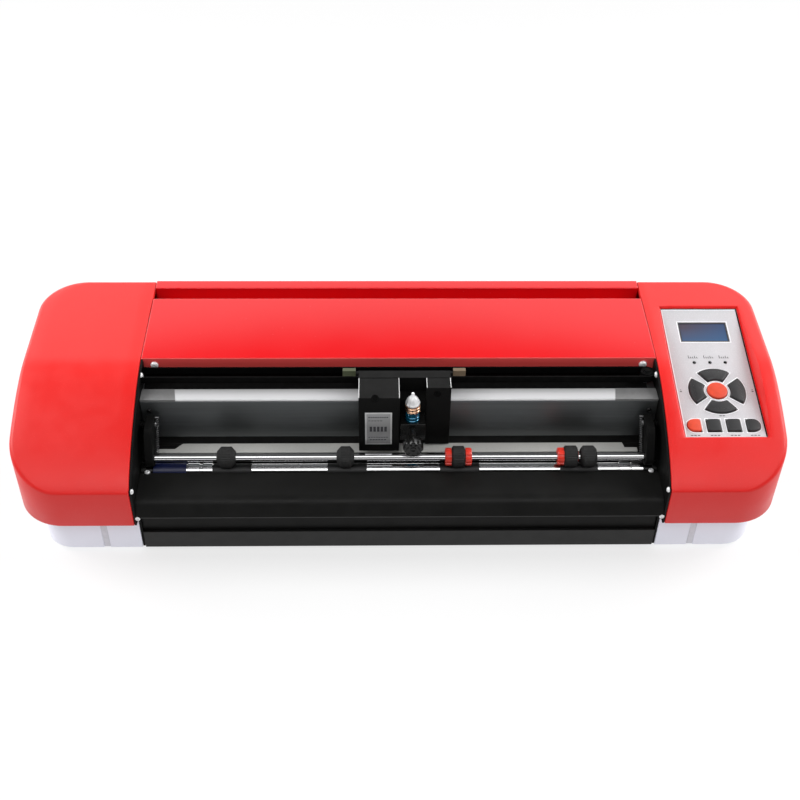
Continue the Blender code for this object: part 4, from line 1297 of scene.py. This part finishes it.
def studio():
    mesh = bpy.data.meshes.new("floor")
    reach = 4.0
    corners = [(-reach, -reach, 0), (reach, -reach, 0), (reach, reach, 0), (-reach, reach, 0)]
    mesh.from_pydata(corners, [], [(0, 1, 2, 3)])
    floor = bpy.data.objects.new("floor", mesh)
    bpy.context.scene.collection.objects.link(floor)
    white = Finish("floor_white", (FLOOR_TONE,) * 3, 0.9, specular=0.0).mottle(400.0, 0.01)
    white.shader.inputs["Emission Color"].default_value = (1, 1, 1, 1)
    white.shader.inputs["Emission Strength"].default_value = FLOOR_GLOW
    mesh.materials.append(white.material)
    sky()
    for name, place, target, size, power in LIGHTS:
        area_light(name, place, target, size, power)


def sky():
    """A pale surround: a bright backdrop low down behind the machine, dim overhead and in front."""
    world = bpy.data.worlds.new("studio")
    bpy.context.scene.world = world
    world.use_nodes = True
    tree = world.node_tree
    place = new_node(tree, "ShaderNodeTexCoord").outputs["Generated"]
    split = new_node(tree, "ShaderNodeSeparateXYZ", links={0: place})

    def ramp(axis, span, first, second):
        values = {"From Min": span[0], "From Max": span[1]}
        links = {"Value": split.outputs[axis]}
        for end, value in (("To Min", first), ("To Max", second)):
            (values if isinstance(value, float) else links)[end] = value
        node = new_node(tree, "ShaderNodeMapRange", values, links, interpolation_type="SMOOTHSTEP")
        return node.outputs["Result"]

    sweep = ramp("Z", BACKDROP[0], *BACKDROP[1])
    low = ramp("Y", (-0.2, 0.4), SKY_FRONT, sweep)
    background = tree.nodes["Background"]
    background.inputs["Color"].default_value = (1, 1, 1, 1)
    tree.links.new(ramp("Z", SKY_EDGE, low, SKY_HIGH), background.inputs["Strength"])


def area_light(name, place, target, size, power):
    light = bpy.data.lights.new(name, "AREA")
    light.shape = "RECTANGLE"
    light.size, light.size_y = size
    light.energy = power
    lamp = bpy.data.objects.new(name, light)
    bpy.context.scene.collection.objects.link(lamp)
    lamp.location = place
    lamp.rotation_euler = (Vector(target) - Vector(place)).to_track_quat("-Z", "Y").to_euler()


CAMERA_PLACE = (-0.02058, -0.73513, 0.73024)
CAMERA_PITCH = 41.366  # degrees below level
CAMERA_YAW = 1.656
CAMERA_ROLL = 0.958
CAMERA_LENS = 54.0


def photo_camera():
    pitch, yaw, roll = (math.radians(a) for a in (CAMERA_PITCH, CAMERA_YAW, CAMERA_ROLL))
    ahead = Vector((math.sin(yaw) * math.cos(pitch), math.cos(yaw) * math.cos(pitch), -math.sin(pitch)))
    right = Vector((math.cos(yaw), -math.sin(yaw), 0))
    up = right.cross(ahead)
    across = right * math.cos(roll) + up * math.sin(roll)
    upright = up * math.cos(roll) - right * math.sin(roll)
    data = bpy.data.cameras.new("camera")
    data.lens = CAMERA_LENS
    camera = bpy.data.objects.new("camera", data)
    bpy.context.scene.collection.objects.link(camera)
    turn = Matrix((across, upright, -ahead)).transposed().to_4x4()
    camera.matrix_world = Matrix.Translation(CAMERA_PLACE) @ turn
    bpy.context.scene.camera = camera
    bpy.context.scene.view_settings.view_transform = "Standard"


photo_camera()
studio()
dress_frame()
for cap_side in (-1, 1):
    end_cap(cap_side)
screws()
shaft_rings()
rail_dressing()
fillers()
tray_groove_shades()
rear_sockets()
rating_plate()
pinch_wheels()
arm_springs()
carriage_label()
carriage_edge_highlights()
blade_tool()
clamp_knob()
keys()
display()
panel_lines()
panel_marks()
panel_lamps()
